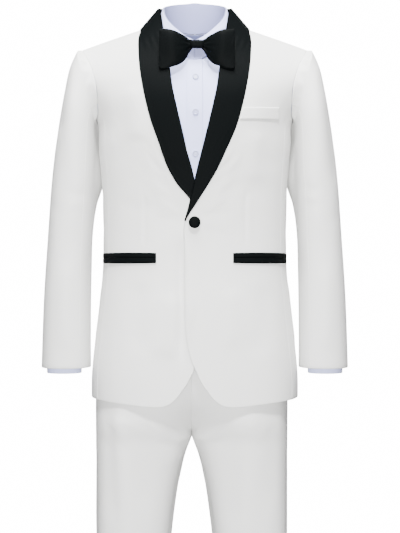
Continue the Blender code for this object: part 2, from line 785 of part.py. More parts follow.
def sleeve_point(ring, angle, inset=0.0):
    """A point on a sleeve ring: 0 degrees its outer edge, 90 its front, 180 its inner."""
    outer_x, outer_z, inner_x, inner_z, front, back = smooth(SLEEVE, ring)
    outer = Vector((outer_x, 0, outer_z))
    inner = Vector((inner_x, 0, inner_z))
    middle = (outer + inner) / 2
    reach = outer - inner
    half = reach.length / 2 - inset
    turn = math.radians(angle)
    cos, sin = math.cos(turn), math.sin(turn)
    depth = (front if sin > 0 else back) - inset
    along = (half * cos * (1 + SLEEVE_FULLNESS * sin * sin)
             - sleeve_bag(ring, angle % 360, inset))
    across = -depth * sin * (1 + SLEEVE_FULLNESS * cos * cos)
    return middle + reach.normalized() * along + Vector((0, across, 0))


def sleeve_head(layer, angle):
    """The sleeve's first ring, on the armhole."""
    place = layer.armhole(angle % 360)
    under = (1 - math.cos(math.radians(angle))) / 2
    return layer.point(*place, lift=layer.step_out * under)


def sleeve_normal(layer, ring, angle, inset=0.0):
    """Outward direction on a sleeve. The head's top is parallel to the shoulder's cloth."""
    step = 1.0
    if ring:
        round_way = (sleeve_point(ring, angle + step, inset)
                     - sleeve_point(ring, angle - step, inset))
        down = sleeve_point(ring + 0.5, angle, inset) - sleeve_point(ring - 0.5, angle, inset)
        return round_way.cross(down).normalized()
    round_way = sleeve_head(layer, angle + step) - sleeve_head(layer, angle - step)
    down = sleeve_point(1, angle, inset) - sleeve_head(layer, angle)
    own = round_way.cross(down).normalized()
    body = layer.normal(*layer.armhole(angle % 360))
    from_top = min(angle % 360, 360 - angle % 360)
    return body.lerp(own, ease(60, 110, from_top)).normalized()


def sleeve_tube(name, layer, angles, rings, thickness, finish, mirrored, insets=None,
                last=None):
    """A sleeve, or one of its two pieces, from the armhole down. last is a final ring."""
    points, normals = [], []
    for ring in rings:
        inset = smooth(insets, ring)[0] if insets else 0.0
        if ring:
            points.append([sleeve_point(ring, angle, inset) for angle in angles])
        else:
            points.append([sleeve_head(layer, angle) for angle in angles])
        normals.append([sleeve_normal(layer, ring, angle, inset) for angle in angles])
    if last:
        points.append([last(angle) for angle in angles])
        normals.append(normals[-1])
    ring_piece = abs(angles[-1] - angles[0] - 360) < 0.001
    return cloth(name, trimmed(points, ring=ring_piece), thickness, finish, normals,
                 mirrored, ring_piece)


def build_jacket_sleeves():
    front, under, back = arm_angles()
    over_angles = [angle - 360 for angle in back[:-1]] + front
    rings = range(SLEEVE_RINGS + 1)
    for side, mirrored in (("left", False), ("right", True)):
        sleeve_tube("jacket_sleeve_top_" + side, JACKET, over_angles, rings, SUITING,
                    "suiting_white", mirrored)
        sleeve_tube("jacket_sleeve_under_" + side, JACKET, under, rings, SUITING,
                    "suiting_white", mirrored)


# ------------------------------------------------------------------ shawl collar
def lapel_rows():
    """Roll place, edge place and rise of each row, from the tip to the shoulder seam."""
    rows = []
    for roll_x, roll_z, edge_x, edge_z, *rise in LAPEL:
        rows.append((JACKET.at(roll_x, roll_z), JACKET.at(edge_x, edge_z), Vector(rise)))
    roll_x, _, edge_x, _, *rise = COLLAR[0]
    rows.append((shoulder_place(JACKET, roll_x), shoulder_place(JACKET, edge_x),
                 Vector(rise)))
    return rows


def collar_rows():
    """The same for the collar's rows past the shoulder seam, to the centre back."""
    rows = []
    for roll_x, roll_y, edge_x, edge_y, *rise in COLLAR[1:]:
        rows.append((JACKET.on_shoulder(roll_x, roll_y), JACKET.on_shoulder(edge_x, edge_y),
                     Vector(rise)))
    return rows


def shawl_grid(over):
    """The lapel from the front panel's own points, moved out, then the collar."""
    places = jacket_front_places()[LAPEL_ROW:]
    lift = SATIN + SEAM
    shares = steps(0, 1, LAPEL_COLUMNS_ACROSS)
    grid = []
    for row, (_, _, rise) in zip(places, lapel_rows()):
        grid.append([jacket_point(place, lift, over) + rise * (1 - share)
                     for place, share in zip(row, shares)])
    for roll, edge, rise in collar_rows():
        row = []
        for share in shares:
            place = (mix(roll[0], edge[0], share), mix(roll[1], edge[1], share))
            row.append(JACKET.point(*place, lift=lift + COLLAR_LIFT) + rise * (1 - share))
        grid.append(row)
    return grid


def flatten_at_centre(normals):
    """Keep the last row, on the centre back, square to the wearer's middle plane."""
    normals[-1] = [Vector((0, normal.y, normal.z)).normalized() for normal in normals[-1]]
    return normals


def build_shawl():
    for side, over in (("left", True), ("right", False)):
        grid = shawl_grid(over)
        normals = flatten_at_centre(grid_normals(grid))
        cloth("shawl_" + side, trimmed(grid), SATIN, "satin_black", normals, not over)


def collar_stand_grid(over):
    """One side of the stand, from the neckline up to the fold, as columns."""
    shawl = shawl_grid(over)[STAND_FIRST_ROW:]
    rows = (lapel_rows() + collar_rows())[STAND_FIRST_ROW:]
    columns = []
    for row, (roll, _, _) in zip(shawl, rows):
        fold, beside = row[0], row[1]
        outward = Vector((beside.x - fold.x, beside.y - fold.y, 0)).normalized()
        top = fold - outward * (SATIN + 2 * SEAM)
        foot = JACKET.point(*roll) + Vector((0, 0, SEAM)) - outward * SEAM
        columns.append([foot.lerp(top, share) for share in steps(0, 1, STAND_ROWS)])
    return columns


def build_collar_stand():
    left = collar_stand_grid(True)
    right = [[Vector((-point.x, point.y, point.z)) for point in column]
             for column in collar_stand_grid(False)]
    columns = left + right[-2::-1]
    grid = [[column[row] for column in columns] for row in range(STAND_ROWS + 1)]
    cloth("jacket_collar_stand", trimmed(grid), SATIN, "satin_black")


# ------------------------------------------------------------------ pockets and button
def contour(grid, height):
    """Where a panel's column lines cross a height, which may depend on x."""
    points = []
    for j in range(len(grid[0])):
        for i in range(len(grid) - 1):
            low, high = grid[i][j], grid[i + 1][j]
            below, above = low.z - height(low.x), high.z - height(high.x)
            if below <= 0 < above:
                points.append(low.lerp(high, below / (below - above)))
                break
    return points


def between(points, start_x, end_x):
    """The stretch of a polyline from one x to the next, cut exactly at both."""
    kept = []
    for first, second in zip(points, points[1:]):
        if first.x < start_x <= second.x:
            kept.append(first.lerp(second, (start_x - first.x) / (second.x - first.x)))
        if first.x < end_x <= second.x:
            kept.append(first.lerp(second, (end_x - first.x) / (second.x - first.x)))
            return kept
        if start_x < second.x < end_x:
            kept.append(second)
    return kept


def lay_on(name, lines, thickness, finish, mirrored=False, clear=LAID_CLEAR):
    """A strip between lines on a panel, moved out to lie on it."""
    columns = min(len(line) for line in lines)
    lines = [line[:columns - 1] + line[-1:] for line in lines]
    normals = grid_normals(lines)
    lift = clear + thickness
    points = [[point + normal * lift for point, normal in zip(line, row)]
              for line, row in zip(lines, normals)]
    cloth(name, points, thickness, finish, normals, mirrored)


def build_hip_pockets():
    start, end = HIP_POCKET_X
    places = [jacket_front_places(), jacket_side_places()]
    bottoms = {"upper": HIP_POCKET_Z + JET_GAP / 2,
               "lower": HIP_POCKET_Z - JET_GAP / 2 - JET_HEIGHT}
    for level, bottom in bottoms.items():
        lines = []
        for z in steps(bottom, bottom + JET_HEIGHT, JET_ROWS):
            line = []
            for part in places:
                grid = [[jacket_point(place) for place in row] for row in part]
                line += contour(grid, lambda x: z)[1 if line else 0:]
            lines.append(between(line, start, end))
        for side, mirrored in (("left", False), ("right", True)):
            lay_on("hip_pocket_%s_%s" % (level, side), lines, JET_THICKNESS, "satin_black",
                   mirrored)


def lapel_edge_x(z):
    """How far out the lapel's edge lies at a height."""
    rows = [(row[3], row[2]) for row in LAPEL]
    return smooth(rows, z)[0]


def build_breast_welt():
    grid = jacket_front_grid(True)
    lines = []
    for z in steps(WELT_BOTTOM, WELT_TOP, WELT_ROWS):
        start = lapel_edge_x(z) + WELT_START
        slope = WELT_RISE / (WELT_END_X - start)
        line = contour(grid, lambda x: z + slope * (x - start))
        lines.append(between(line, start, WELT_END_X))
    lay_on("breast_welt", lines, WELT_THICKNESS, "suiting_white", clear=WELT_CLEAR)


def turned_disc(name, profile, centre, normal, finish, segments):
    """A round piece from its radius and height profile, facing along a normal."""
    bm = bmesh.new()
    points = [bm.verts.new((radius, 0, height)) for radius, height in profile]
    for first, second in zip(points, points[1:]):
        bm.edges.new((first, second))
    bmesh.ops.rotate(bm, verts=bm.verts, cent=(0, 0, 0),
                     matrix=Matrix.Rotation(math.pi / 2, 3, "X"))
    made = add_object(name, bm, finish, centre)
    made.rotation_euler.x = math.atan2(-normal.z, -normal.y)
    screw = made.modifiers.new("turn", "SCREW")
    screw.axis = "Y"
    screw.steps = segments
    screw.render_steps = segments
    screw.use_merge_vertices = True
    screw.merge_threshold = 0.00001
    return made


def build_front_button():
    place = JACKET.at(0.0, BUTTON_Z)
    normal = JACKET.normal(*place)
    foot = jacket_point(place, LAID_CLEAR)
    base = foot + normal * (BUTTON_SHANK_LENGTH + SEAM)
    radius, height = BUTTON_RADIUS, BUTTON_HEIGHT
    dome = [(0, 0), (0.82 * radius, 0), (radius, 0.28 * height),
            (0.94 * radius, 0.62 * height), (0.62 * radius, 0.92 * height), (0, height)]
    turned_disc("front_button", dome, base, normal, "satin_black", 24)
    radius, height = BUTTON_SHANK_RADIUS, BUTTON_SHANK_LENGTH
    shank = [(0, 0), (radius, 0), (radius, height), (0, height)]
    turned_disc("front_button_shank", shank, foot, normal, "satin_black", 10)


# ------------------------------------------------------------------ shirt
def shirt_neck_front(count, start_x):
    """Neckline places from the placket to the shoulder seam."""
    start = math.asin(start_x / SHIRT_NECK_X)
    places = []
    for turn in steps(start, math.pi / 2, count):
        x, y = SHIRT_NECK_X * math.sin(turn), SHIRT_NECK_FRONT * math.cos(turn)
        places.append(SHIRT.on_shoulder(x, min(y, -0.0005)))
    places[-1] = shoulder_place(SHIRT, SHIRT_NECK_X)
    return places


def shirt_side_places(top):
    """Side seam from the tails to the underarm."""
    bottom = (math.radians(SHIRT_SIDE_THETA), SHIRT.level_at(0, SHIRT_HEM))
    return [(mix(bottom[0], top[0], share), mix(bottom[1], top[1], share))
            for share in steps(0, 1, SHIRT_ROWS)]


def shirt_shoulder_x():
    return ARMHOLE[0][1] - SHIRT.inset(0)


def shirt_front_heights(top_z):
    """Heights of the grid rows up the centre front, tails to neckline."""
    arm_z = SHIRT.point(*SHIRT.armhole(180)).z
    return steps(SHIRT_HEM, arm_z, SHIRT_ROWS)[:-1] + steps(arm_z, top_z, SHIRT_ARM_ROWS)


def shirt_front_places(inner_x):
    arm = [SHIRT.armhole(angle) for angle in SHIRT_ARM_ANGLES]
    arm[0] = (math.pi / 2, arm[0][1])
    arm[-1] = shoulder_place(SHIRT, shirt_shoulder_x())
    outer = shirt_side_places(arm[0])[:-1] + arm
    neck = shirt_neck_front(SHIRT_NECK_COLUMNS, abs(inner_x))
    if inner_x < 0:
        neck[0] = (-neck[0][0], neck[0][1])
    shoulder = [shoulder_place(SHIRT, x) for x in
                steps(SHIRT_NECK_X, shirt_shoulder_x(), SHIRT_SHOULDER_COLUMNS)]
    top = neck + shoulder[1:]
    top_z = SHIRT.point(*neck[0]).z
    inner = [SHIRT.at(inner_x, z) for z in shirt_front_heights(top_z)]
    inner[-1] = neck[0]
    hem_level = SHIRT.level_at(0, SHIRT_HEM)
    bottom = [(mix(inner[0][0], math.pi / 2, share), hem_level)
              for share in steps(0, 1, len(top) - 1)]
    return coons(inner, outer, bottom, top)


def shirt_back_places():
    """The wearer's left half of the back, from the side seam to the centre."""
    arm = [SHIRT.armhole(360 - angle) for angle in SHIRT_ARM_ANGLES]
    arm[0] = (math.pi / 2, arm[0][1])
    arm[-1] = shoulder_place(SHIRT, shirt_shoulder_x(), BACK)
    outer = shirt_side_places(arm[0])[:-1] + arm
    shoulder = [shoulder_place(SHIRT, x, BACK) for x in
                steps(shirt_shoulder_x(), SHIRT_NECK_X, SHIRT_SHOULDER_COLUMNS)]
    neck = back_neckline(SHIRT, SHIRT_NECK_X, SHIRT_NECK_BACK, SHIRT_NECK_COLUMNS)
    top = shoulder[:-1] + neck
    inner = centre_back_places(outer[0][1], arm[0][1], top[-1][1], SHIRT_ROWS,
                               SHIRT_ARM_ROWS)
    bottom = [(mix(math.pi / 2, math.pi, share), outer[0][1])
              for share in steps(0, 1, len(top) - 1)]
    return coons(outer, inner, bottom, top)


def build_shirt_body():
    panel(SHIRT, shirt_front_places(PLACKET_HALF + SEAM / 2), "shirt_front_left", SHIRTING,
          "shirt_white")
    panel(SHIRT, shirt_front_places(SEAM - PLACKET_HALF), "shirt_front_right", SHIRTING,
          "shirt_white", mirrored=True)
    whole = []
    for row in shirt_back_places():
        far = [(2 * math.pi - theta, level) for theta, level in row[-2::-1]]
        whole.append(row + far)
    panel(SHIRT, whole, "shirt_back", SHIRTING, "shirt_white")


def shirt_placket_grid():
    top_z = SHIRT.point(*shirt_neck_front(1, PLACKET_HALF)[0]).z - PLACKET_SHORT
    grid = []
    for z in shirt_front_heights(top_z):
        row = []
        for x in steps(-PLACKET_HALF, PLACKET_HALF, 2):
            row.append(SHIRT.point(*SHIRT.at(x, z), lift=PLACKET_LIFT))
        grid.append(row)
    return grid


def build_shirt_placket():
    cloth("shirt_placket", trimmed(shirt_placket_grid()), SHIRTING, "shirt_white")


def build_shirt_buttons():
    radius, height = SHIRT_BUTTON_RADIUS, SHIRT_BUTTON_HEIGHT
    profile = [(0, 0), (0.85 * radius, 0), (radius, 0.4 * height), (0.9 * radius, height),
               (0.6 * radius, 0.7 * height), (0, 0.7 * height)]
    for number, z in enumerate(SHIRT_BUTTONS_Z, start=1):
        _, middle, _ = contour(shirt_placket_grid(), lambda x: z)
        normal = SHIRT.normal(*SHIRT.at(0, z))
        base = middle + normal * SHIRT_BUTTON_CLEAR + Vector((SHIRT_BUTTON_X, 0, 0))
        turned_disc("shirt_button_%d" % number, profile, base, normal, "button_white", 16)


def build_shirt_sleeves():
    angles = list(SHIRT_ARM_ANGLES[::-1]) + [360 - angle for angle in SHIRT_ARM_ANGLES[1:]]
    rings = range(SHIRT_SLEEVE[-1][0] + 1)
    for side, mirrored in (("left", False), ("right", True)):
        sleeve_tube("shirt_sleeve_" + side, SHIRT, angles, rings, SHIRTING, "shirt_white",
                    mirrored, SHIRT_SLEEVE,
                    lambda angle: cuff_point(angle, SHIRT_CUFF_TOP + SEAM))
        band = [[cuff_point(angle, z) for angle in steps(0, 360, SHIRT_CUFF_POINTS)]
                for z in steps(SHIRT_CUFF_TOP, SHIRT_CUFF_BOTTOM, 2)]
        cloth("shirt_cuff_" + side, band, 1.5 * SHIRTING, "shirt_white", None, mirrored, True)


def cuff_point(angle, z):
    turn = math.radians(angle)
    centre_x, centre_y = SHIRT_CUFF_CENTRE
    half_x, half_y = SHIRT_CUFF_HALF
    return Vector((centre_x + half_x * math.cos(turn), centre_y - half_y * math.sin(turn), z))


# ------------------------------------------------------------------ shirt collar
def collar_fold(turn, out=0.0):
    """A point on the collar's top line, turn 0 at the throat and 180 at the nape."""
    angle = math.radians(turn)
    depth = COLLAR_FOLD_FRONT if turn < 90 else COLLAR_FOLD_BACK
    return Vector(((COLLAR_FOLD_X + out) * math.sin(angle), -(depth + out) * math.cos(angle),
                   smooth(COLLAR_TURN, turn)[0]))


def collar_foot(turn):
    """A point just above the shirt's neckline."""
    angle = math.radians(turn)
    depth = -SHIRT_NECK_FRONT if turn < 90 else SHIRT_NECK_BACK
    x, y = SHIRT_NECK_X * math.sin(angle), -depth * math.cos(angle)
    if abs(y) < 0.0005:
        place = shoulder_place(SHIRT, x)
    else:
        place = SHIRT.on_shoulder(x, y)
    return SHIRT.point(*place) + Vector((0, 0, mix(COLLAR_FOOT_LIFT, SEAM, turn / 180)))


def half_turns(grid_row):
    """Complete a row of points on the wearer's left with its mirror, across the nape."""
    return grid_row + [Vector((-point.x, point.y, point.z)) for point in grid_row[-2::-1]]


def build_shirt_collar_stand():
    turns = steps(STAND_START, 180, COLLAR_SPANS)
    rows = []
    for share in steps(0, 1, 2):
        rows.append(half_turns([collar_foot(turn).lerp(collar_fold(turn), share)
                                for turn in turns]))
    cloth("shirt_collar_stand", trimmed(rows), SHIRTING, "shirt_white")


def build_collar_leaf():
    """The turned-down leaf, in one piece from point to point."""
    rows = []
    for share in steps(0, 1, LEAF_ROWS):
        row = []
        for turn in steps(LEAF[0][0], 180, COLLAR_SPANS):
            fold = collar_fold(turn, out=SHIRTING + 2 * SEAM)
            edge = Vector(smooth(LEAF, turn))
            angle = math.radians(turn)
            outward = Vector((math.sin(angle), -math.cos(angle), 0))
            bulge = LEAF_BULGE * math.sin(math.pi * share)
            row.append(edge.lerp(fold, share) + outward * bulge)
        rows.append(half_turns(row))
    cloth("shirt_collar_leaf", trimmed(rows), SHIRTING, "shirt_white")


# ------------------------------------------------------------------ bow tie
def bow_knot_y():
    """The knot rests on the front ends of the band."""
    low, high = (row[0] for row in bow_band_grid())
    front = mix(low.y, high.y, (BOW_Z - low.z) / (high.z - low.z))
    return front - 2 * SEAM - KNOT_HALF[1]


def build_bow_knot():
    bm = bmesh.new()
    bmesh.ops.create_uvsphere(bm, u_segments=20, v_segments=12, radius=1.0)
    half_x, half_y, half_z = KNOT_HALF
    for vert in bm.verts:
        vert.co.x = math.copysign(abs(vert.co.x) ** KNOT_POWER, vert.co.x) * half_x
        vert.co.y *= half_y
        vert.co.z = math.copysign(abs(vert.co.z) ** KNOT_POWER, vert.co.z) * half_z
    add_object("bow_knot", bm, "satin_black", (BOW_X, bow_knot_y(), BOW_Z))


def wing_section(out):
    """Points round a wing at a distance out from its root, back first."""
    y, top, bottom, thickness = smooth(WING, out)
    middle, half = (top + bottom) / 2, (top - bottom) / 2
    points = []
    for index in range(WING_POINTS):
        turn = 2 * math.pi * index / WING_POINTS
        height = middle + half * math.sin(turn)
        depth = math.cos(turn) * thickness / 2
        points.append(Vector((WING_START + out, y - depth, height)))
    return points


def build_bow_wings():
    for side, mirrored in (("left", False), ("right", True)):
        bm = bmesh.new()
        rings = []
        for out in steps(WING[0][0], WING[-1][0], 8):
            ring = [bm.verts.new(point) for point in wing_section(out)]
            rings.append(ring)
        for near, far in zip(rings, rings[1:]):
            for index in range(WING_POINTS):
                after = (index + 1) % WING_POINTS
                bm.faces.new((near[index], near[after], far[after], far[index]))
        bm.faces.new(reversed(rings[0]))
        bm.faces.new(rings[-1])
        if mirrored:
            for vert in bm.verts:
                vert.co.x = -vert.co.x
        bmesh.ops.recalc_face_normals(bm, faces=bm.faces)
        add_object("bow_wing_" + side, bm, "satin_black", (BOW_X, bow_knot_y(), BOW_Z))


def bow_band_grid():
    """The neckband under the collar's leaf, on the middle of the collar stand."""
    turns = steps(BOW_BAND_START, 180, COLLAR_SPANS)
    rows = []
    for share in (0, 1):
        row = []
        for turn in turns:
            foot, fold = collar_foot(turn), collar_fold(turn)
            middle = foot.lerp(fold, 0.5)
            outward = Vector((math.sin(math.radians(turn)), -math.cos(math.radians(turn)), 0))
            up = (fold - foot).normalized()
            row.append(middle + outward * (BOW_BAND_THICKNESS + 2 * SEAM)
                       + up * mix(-BOW_BAND_HALF, BOW_BAND_HALF, share))
        rows.append(half_turns(row))
    return rows


def build_bow_band():
    cloth("bow_band", bow_band_grid(), BOW_BAND_THICKNESS, "satin_black")


# ------------------------------------------------------------------ trousers
def trouser_point(z, share, side):
    """A point on a leg: share 0 at the outseam, 1 at the centre seam or the inseam."""
    outer, front, back, inner, fork = smooth(TROUSERS, z)
    depth = front if side == FRONT else back
    hip_turn = share * math.pi / 2
    hip_x, hip_y = oval(math.pi / 2 - hip_turn, outer, depth, depth, TROUSER_FULLNESS)
    middle, half = (outer + inner) / 2, (outer - inner) / 2
    leg_turn = share * math.pi
    cos, sin = math.cos(leg_turn), math.sin(leg_turn)
    leg_x = middle + half * cos * (1 + TROUSER_FULLNESS * sin * sin)
    leg_y = -depth * sin * (1 + TROUSER_FULLNESS * cos * cos)
    x, y = mix(hip_x, leg_x, fork), mix(hip_y, leg_y, fork)
    y *= 1 + FORK_DEPTH * fork * (1 - fork)
    return Vector((x, y * (1 if side == FRONT else -1), z))


def trouser_normal(z, share, side):
    """Outward direction on a leg, from neighbouring points."""
    step = 0.004
    away = -step if side == FRONT else step
    round_way = trouser_point(z, share + away, side) - trouser_point(z, share - away, side)
    up = trouser_point(z + step, share, side) - trouser_point(z - step, share, side)
    return round_way.cross(up).normalized()


def build_trouser_legs():
    heights = [row[0] for row in TROUSERS]
    gap = Vector((SEAM / 2, 0, 0))
    for side_name, side in (("front", FRONT), ("back", BACK)):
        for hand, mirrored in (("left", False), ("right", True)):
            shares = steps(1, 0, TROUSER_ACROSS)
            if side == BACK:
                shares.reverse()
            grid = [[trouser_point(z, share, side) + gap for share in shares]
                    for z in heights]
            normals = [[trouser_normal(z, share, side) for share in shares]
                       for z in heights]
            made = cloth("trouser_%s_%s" % (side_name, hand), trimmed(grid), TROUSERING,
                         "trouser_white", normals, mirrored)
            made.location.x = TROUSER_X


def build_waistband():
    outer, front, back, _, _ = smooth(TROUSERS, TROUSERS[-1][0])
    gap = 0.5
    grid = []
    for z in steps(WAISTBAND_BOTTOM, WAISTBAND_TOP, 2):
        taper = WAISTBAND_TAPER * (z - WAISTBAND_BOTTOM) / (WAISTBAND_TOP - WAISTBAND_BOTTOM)
        row = []
        for angle in steps(gap, 360 - gap, WAISTBAND_COLUMNS):
            x, y = oval(math.radians(angle), outer - taper, front - taper, back - taper,
                        TROUSER_FULLNESS)
            row.append(Vector((x, y, z)))
        grid.append(row)
    made = cloth("trouser_waistband", trimmed(grid), TROUSERING, "trouser_white")
    made.location.x = TROUSER_X


# ------------------------------------------------------------------ the set
def clear_scene():
    for old in list(bpy.data.objects):
        bpy.data.objects.remove(old, do_unlink=True)


def main():
    clear_scene()
    bpy.context.scene.collection.children.link(bpy.data.collections.new(COLLECTION))
    build_jacket_body()
    build_jacket_sleeves()
    build_shawl()
    build_collar_stand()
    build_hip_pockets()
    build_breast_welt()
    build_front_button()
    build_shirt_body()
    build_shirt_placket()
    build_shirt_buttons()
    build_shirt_sleeves()
    build_shirt_collar_stand()
    build_collar_leaf()
    build_bow_knot()
    build_bow_wings()
    build_bow_band()
    build_trouser_legs()
    build_waistband()


main()
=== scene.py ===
"""Looks of the tuxedo: each cloth piece refined into a smooth thin shell on its CAD form.

The pieces keep the CAD's points and the directions of its walls, so neighbours still meet
along their seams. Folds are listed and move every piece they cross by the same amount.
"""
import json
import math

import bpy
import numpy as np
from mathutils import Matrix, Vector
from mathutils.kdtree import KDTree


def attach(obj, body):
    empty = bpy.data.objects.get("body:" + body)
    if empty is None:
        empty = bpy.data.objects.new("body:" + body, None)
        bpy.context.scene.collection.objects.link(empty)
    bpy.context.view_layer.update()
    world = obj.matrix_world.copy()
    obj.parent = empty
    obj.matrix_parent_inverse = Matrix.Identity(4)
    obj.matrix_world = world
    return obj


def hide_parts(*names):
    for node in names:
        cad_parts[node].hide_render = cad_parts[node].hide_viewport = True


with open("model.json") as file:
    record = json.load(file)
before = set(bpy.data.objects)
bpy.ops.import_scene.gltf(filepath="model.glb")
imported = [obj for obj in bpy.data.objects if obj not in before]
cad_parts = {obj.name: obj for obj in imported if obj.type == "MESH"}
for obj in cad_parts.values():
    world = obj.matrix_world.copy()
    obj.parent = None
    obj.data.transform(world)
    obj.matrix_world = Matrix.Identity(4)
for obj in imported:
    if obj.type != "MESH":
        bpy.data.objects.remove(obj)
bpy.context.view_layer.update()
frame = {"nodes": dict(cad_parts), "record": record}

MM = 0.001
WELD = 1e-5
CORNER_DEGREES = 38      # a boundary turning more than this keeps its corner
RIM_MATCH = 0.02         # a rim's edge is this near the wall's thickness, as a share
WAY_MATCH = 0.05         # and the line to the inner skin this near
FRONT, LEFT = np.array((0.0, -1.0, 0.0)), np.array((1.0, 0.0, 0.0))
SLOTS = {part["node"]: part["material_slot"] for part in frame["record"]["subparts"]}


# -------- reading a CAD wall
def unit(rows):
    """Rows brought to length 1."""
    return rows / np.maximum(np.linalg.norm(rows, axis=-1, keepdims=True), 1e-12)


def tree_of(rows):
    """A search tree over points."""
    tree = KDTree(len(rows))
    for index, row in enumerate(rows):
        tree.insert(row, index)
    tree.balance()
    return tree


def welded_mesh(node):
    """A node's points and triangles, with the points that glTF splits made one again."""
    mesh = frame["nodes"][node].data
    mesh.calc_loop_triangles()
    points = np.empty(len(mesh.vertices) * 3)
    mesh.vertices.foreach_get("co", points)
    triangles = np.empty(len(mesh.loop_triangles) * 3, np.int32)
    mesh.loop_triangles.foreach_get("vertices", triangles)
    points, triangles = points.reshape(-1, 3), triangles.reshape(-1, 3)
    _, first, index = np.unique(np.round(points / WELD).astype(np.int64), axis=0,
                                return_index=True, return_inverse=True)
    triangles = index.reshape(-1)[triangles]
    whole = ((triangles[:, 0] != triangles[:, 1]) & (triangles[:, 1] != triangles[:, 2])
             & (triangles[:, 0] != triangles[:, 2]))
    return points[first], triangles[whole]


def outer_sheet(node, thickness, outward=None):
    """The outer skin of a wall: its triangles, and at each point the way out of the wall.

    The wall's rims are the triangles with an edge as long as the wall is thick, and without
    them its two skins fall apart. outward picks one; otherwise the outer skin is the larger.
    """
    points, triangles = welded_mesh(node)
    corners = points[triangles]
    lengths = np.linalg.norm(corners - np.roll(corners, -1, axis=1), axis=2)
    rims = (np.abs(lengths - thickness) < RIM_MATCH * thickness).any(axis=1)
    parent = list(range(len(points)))

    def root(index):
        while parent[index] != index:
            parent[index] = parent[parent[index]]
            index = parent[index]
        return index

    for a, b, c in triangles[~rims].tolist():
        parent[root(a)] = root(b)
        parent[root(b)] = root(c)
    skins = {}
    for index in np.nonzero(~rims)[0]:
        skins.setdefault(root(triangles[index, 0]), []).append(index)
    cross = np.cross(corners[:, 1] - corners[:, 0], corners[:, 2] - corners[:, 0])
    size = np.linalg.norm(cross, axis=1) / 2
    largest = sorted(skins.values(), key=lambda rows: size[rows].sum())[-2:]
    if outward is None:
        outer = largest[1]
    else:
        outer = max(largest, key=lambda rows: float(cross[rows].sum(axis=0) @ outward))
    inner = next(rows for rows in largest if rows is not outer)
    tree = tree_of(points[np.unique(triangles[inner])])
    used = np.unique(triangles[outer])
    rough = np.zeros_like(points)
    for corner in range(3):
        np.add.at(rough, triangles[outer][:, corner], cross[outer])
    rough = unit(rough)
    ways = []
    for index in used:
        near = tree.find(points[index] - rough[index] * thickness)[0]
        way = points[index] - np.array(near)
        exact = abs(np.linalg.norm(way) - thickness) < WAY_MATCH * thickness
        ways.append(unit(way) if exact else rough[index])
    renumber = np.full(len(points), -1)
    renumber[used] = np.arange(len(used))
    return points[used], renumber[triangles[outer]], np.array(ways)


# -------- refining a sheet
def boundary_next(triangles):
    """For each point on a sheet's boundary, the point that follows it."""
    directed = {side: True for a, b, c in triangles.tolist() for side in ((a, b), (b, c), (c, a))}
    return {start: end for start, end in directed if (end, start) not in directed}


def boundary_tangents(points, normals, following):
    """At each boundary point, the ways in and out along a smooth curve through its points."""
    before = {end: start for start, end in following.items()}
    tangents = {}
    limit = math.cos(math.radians(CORNER_DEGREES))
    for here, after in following.items():
        prior = before[here]
        step_in = points[here] - points[prior]
        step_out = points[after] - points[here]
        length_in, length_out = np.linalg.norm(step_in), np.linalg.norm(step_out)
        if step_in @ step_out < limit * length_in * length_out:
            tangents[here] = (None, None)
            continue
        way = (step_in / length_in * length_out + step_out / length_out * length_in)
        way = unit(way - normals[here] * (way @ normals[here]))
        tangents[here] = (way * length_in, way * length_out)
    return tangents


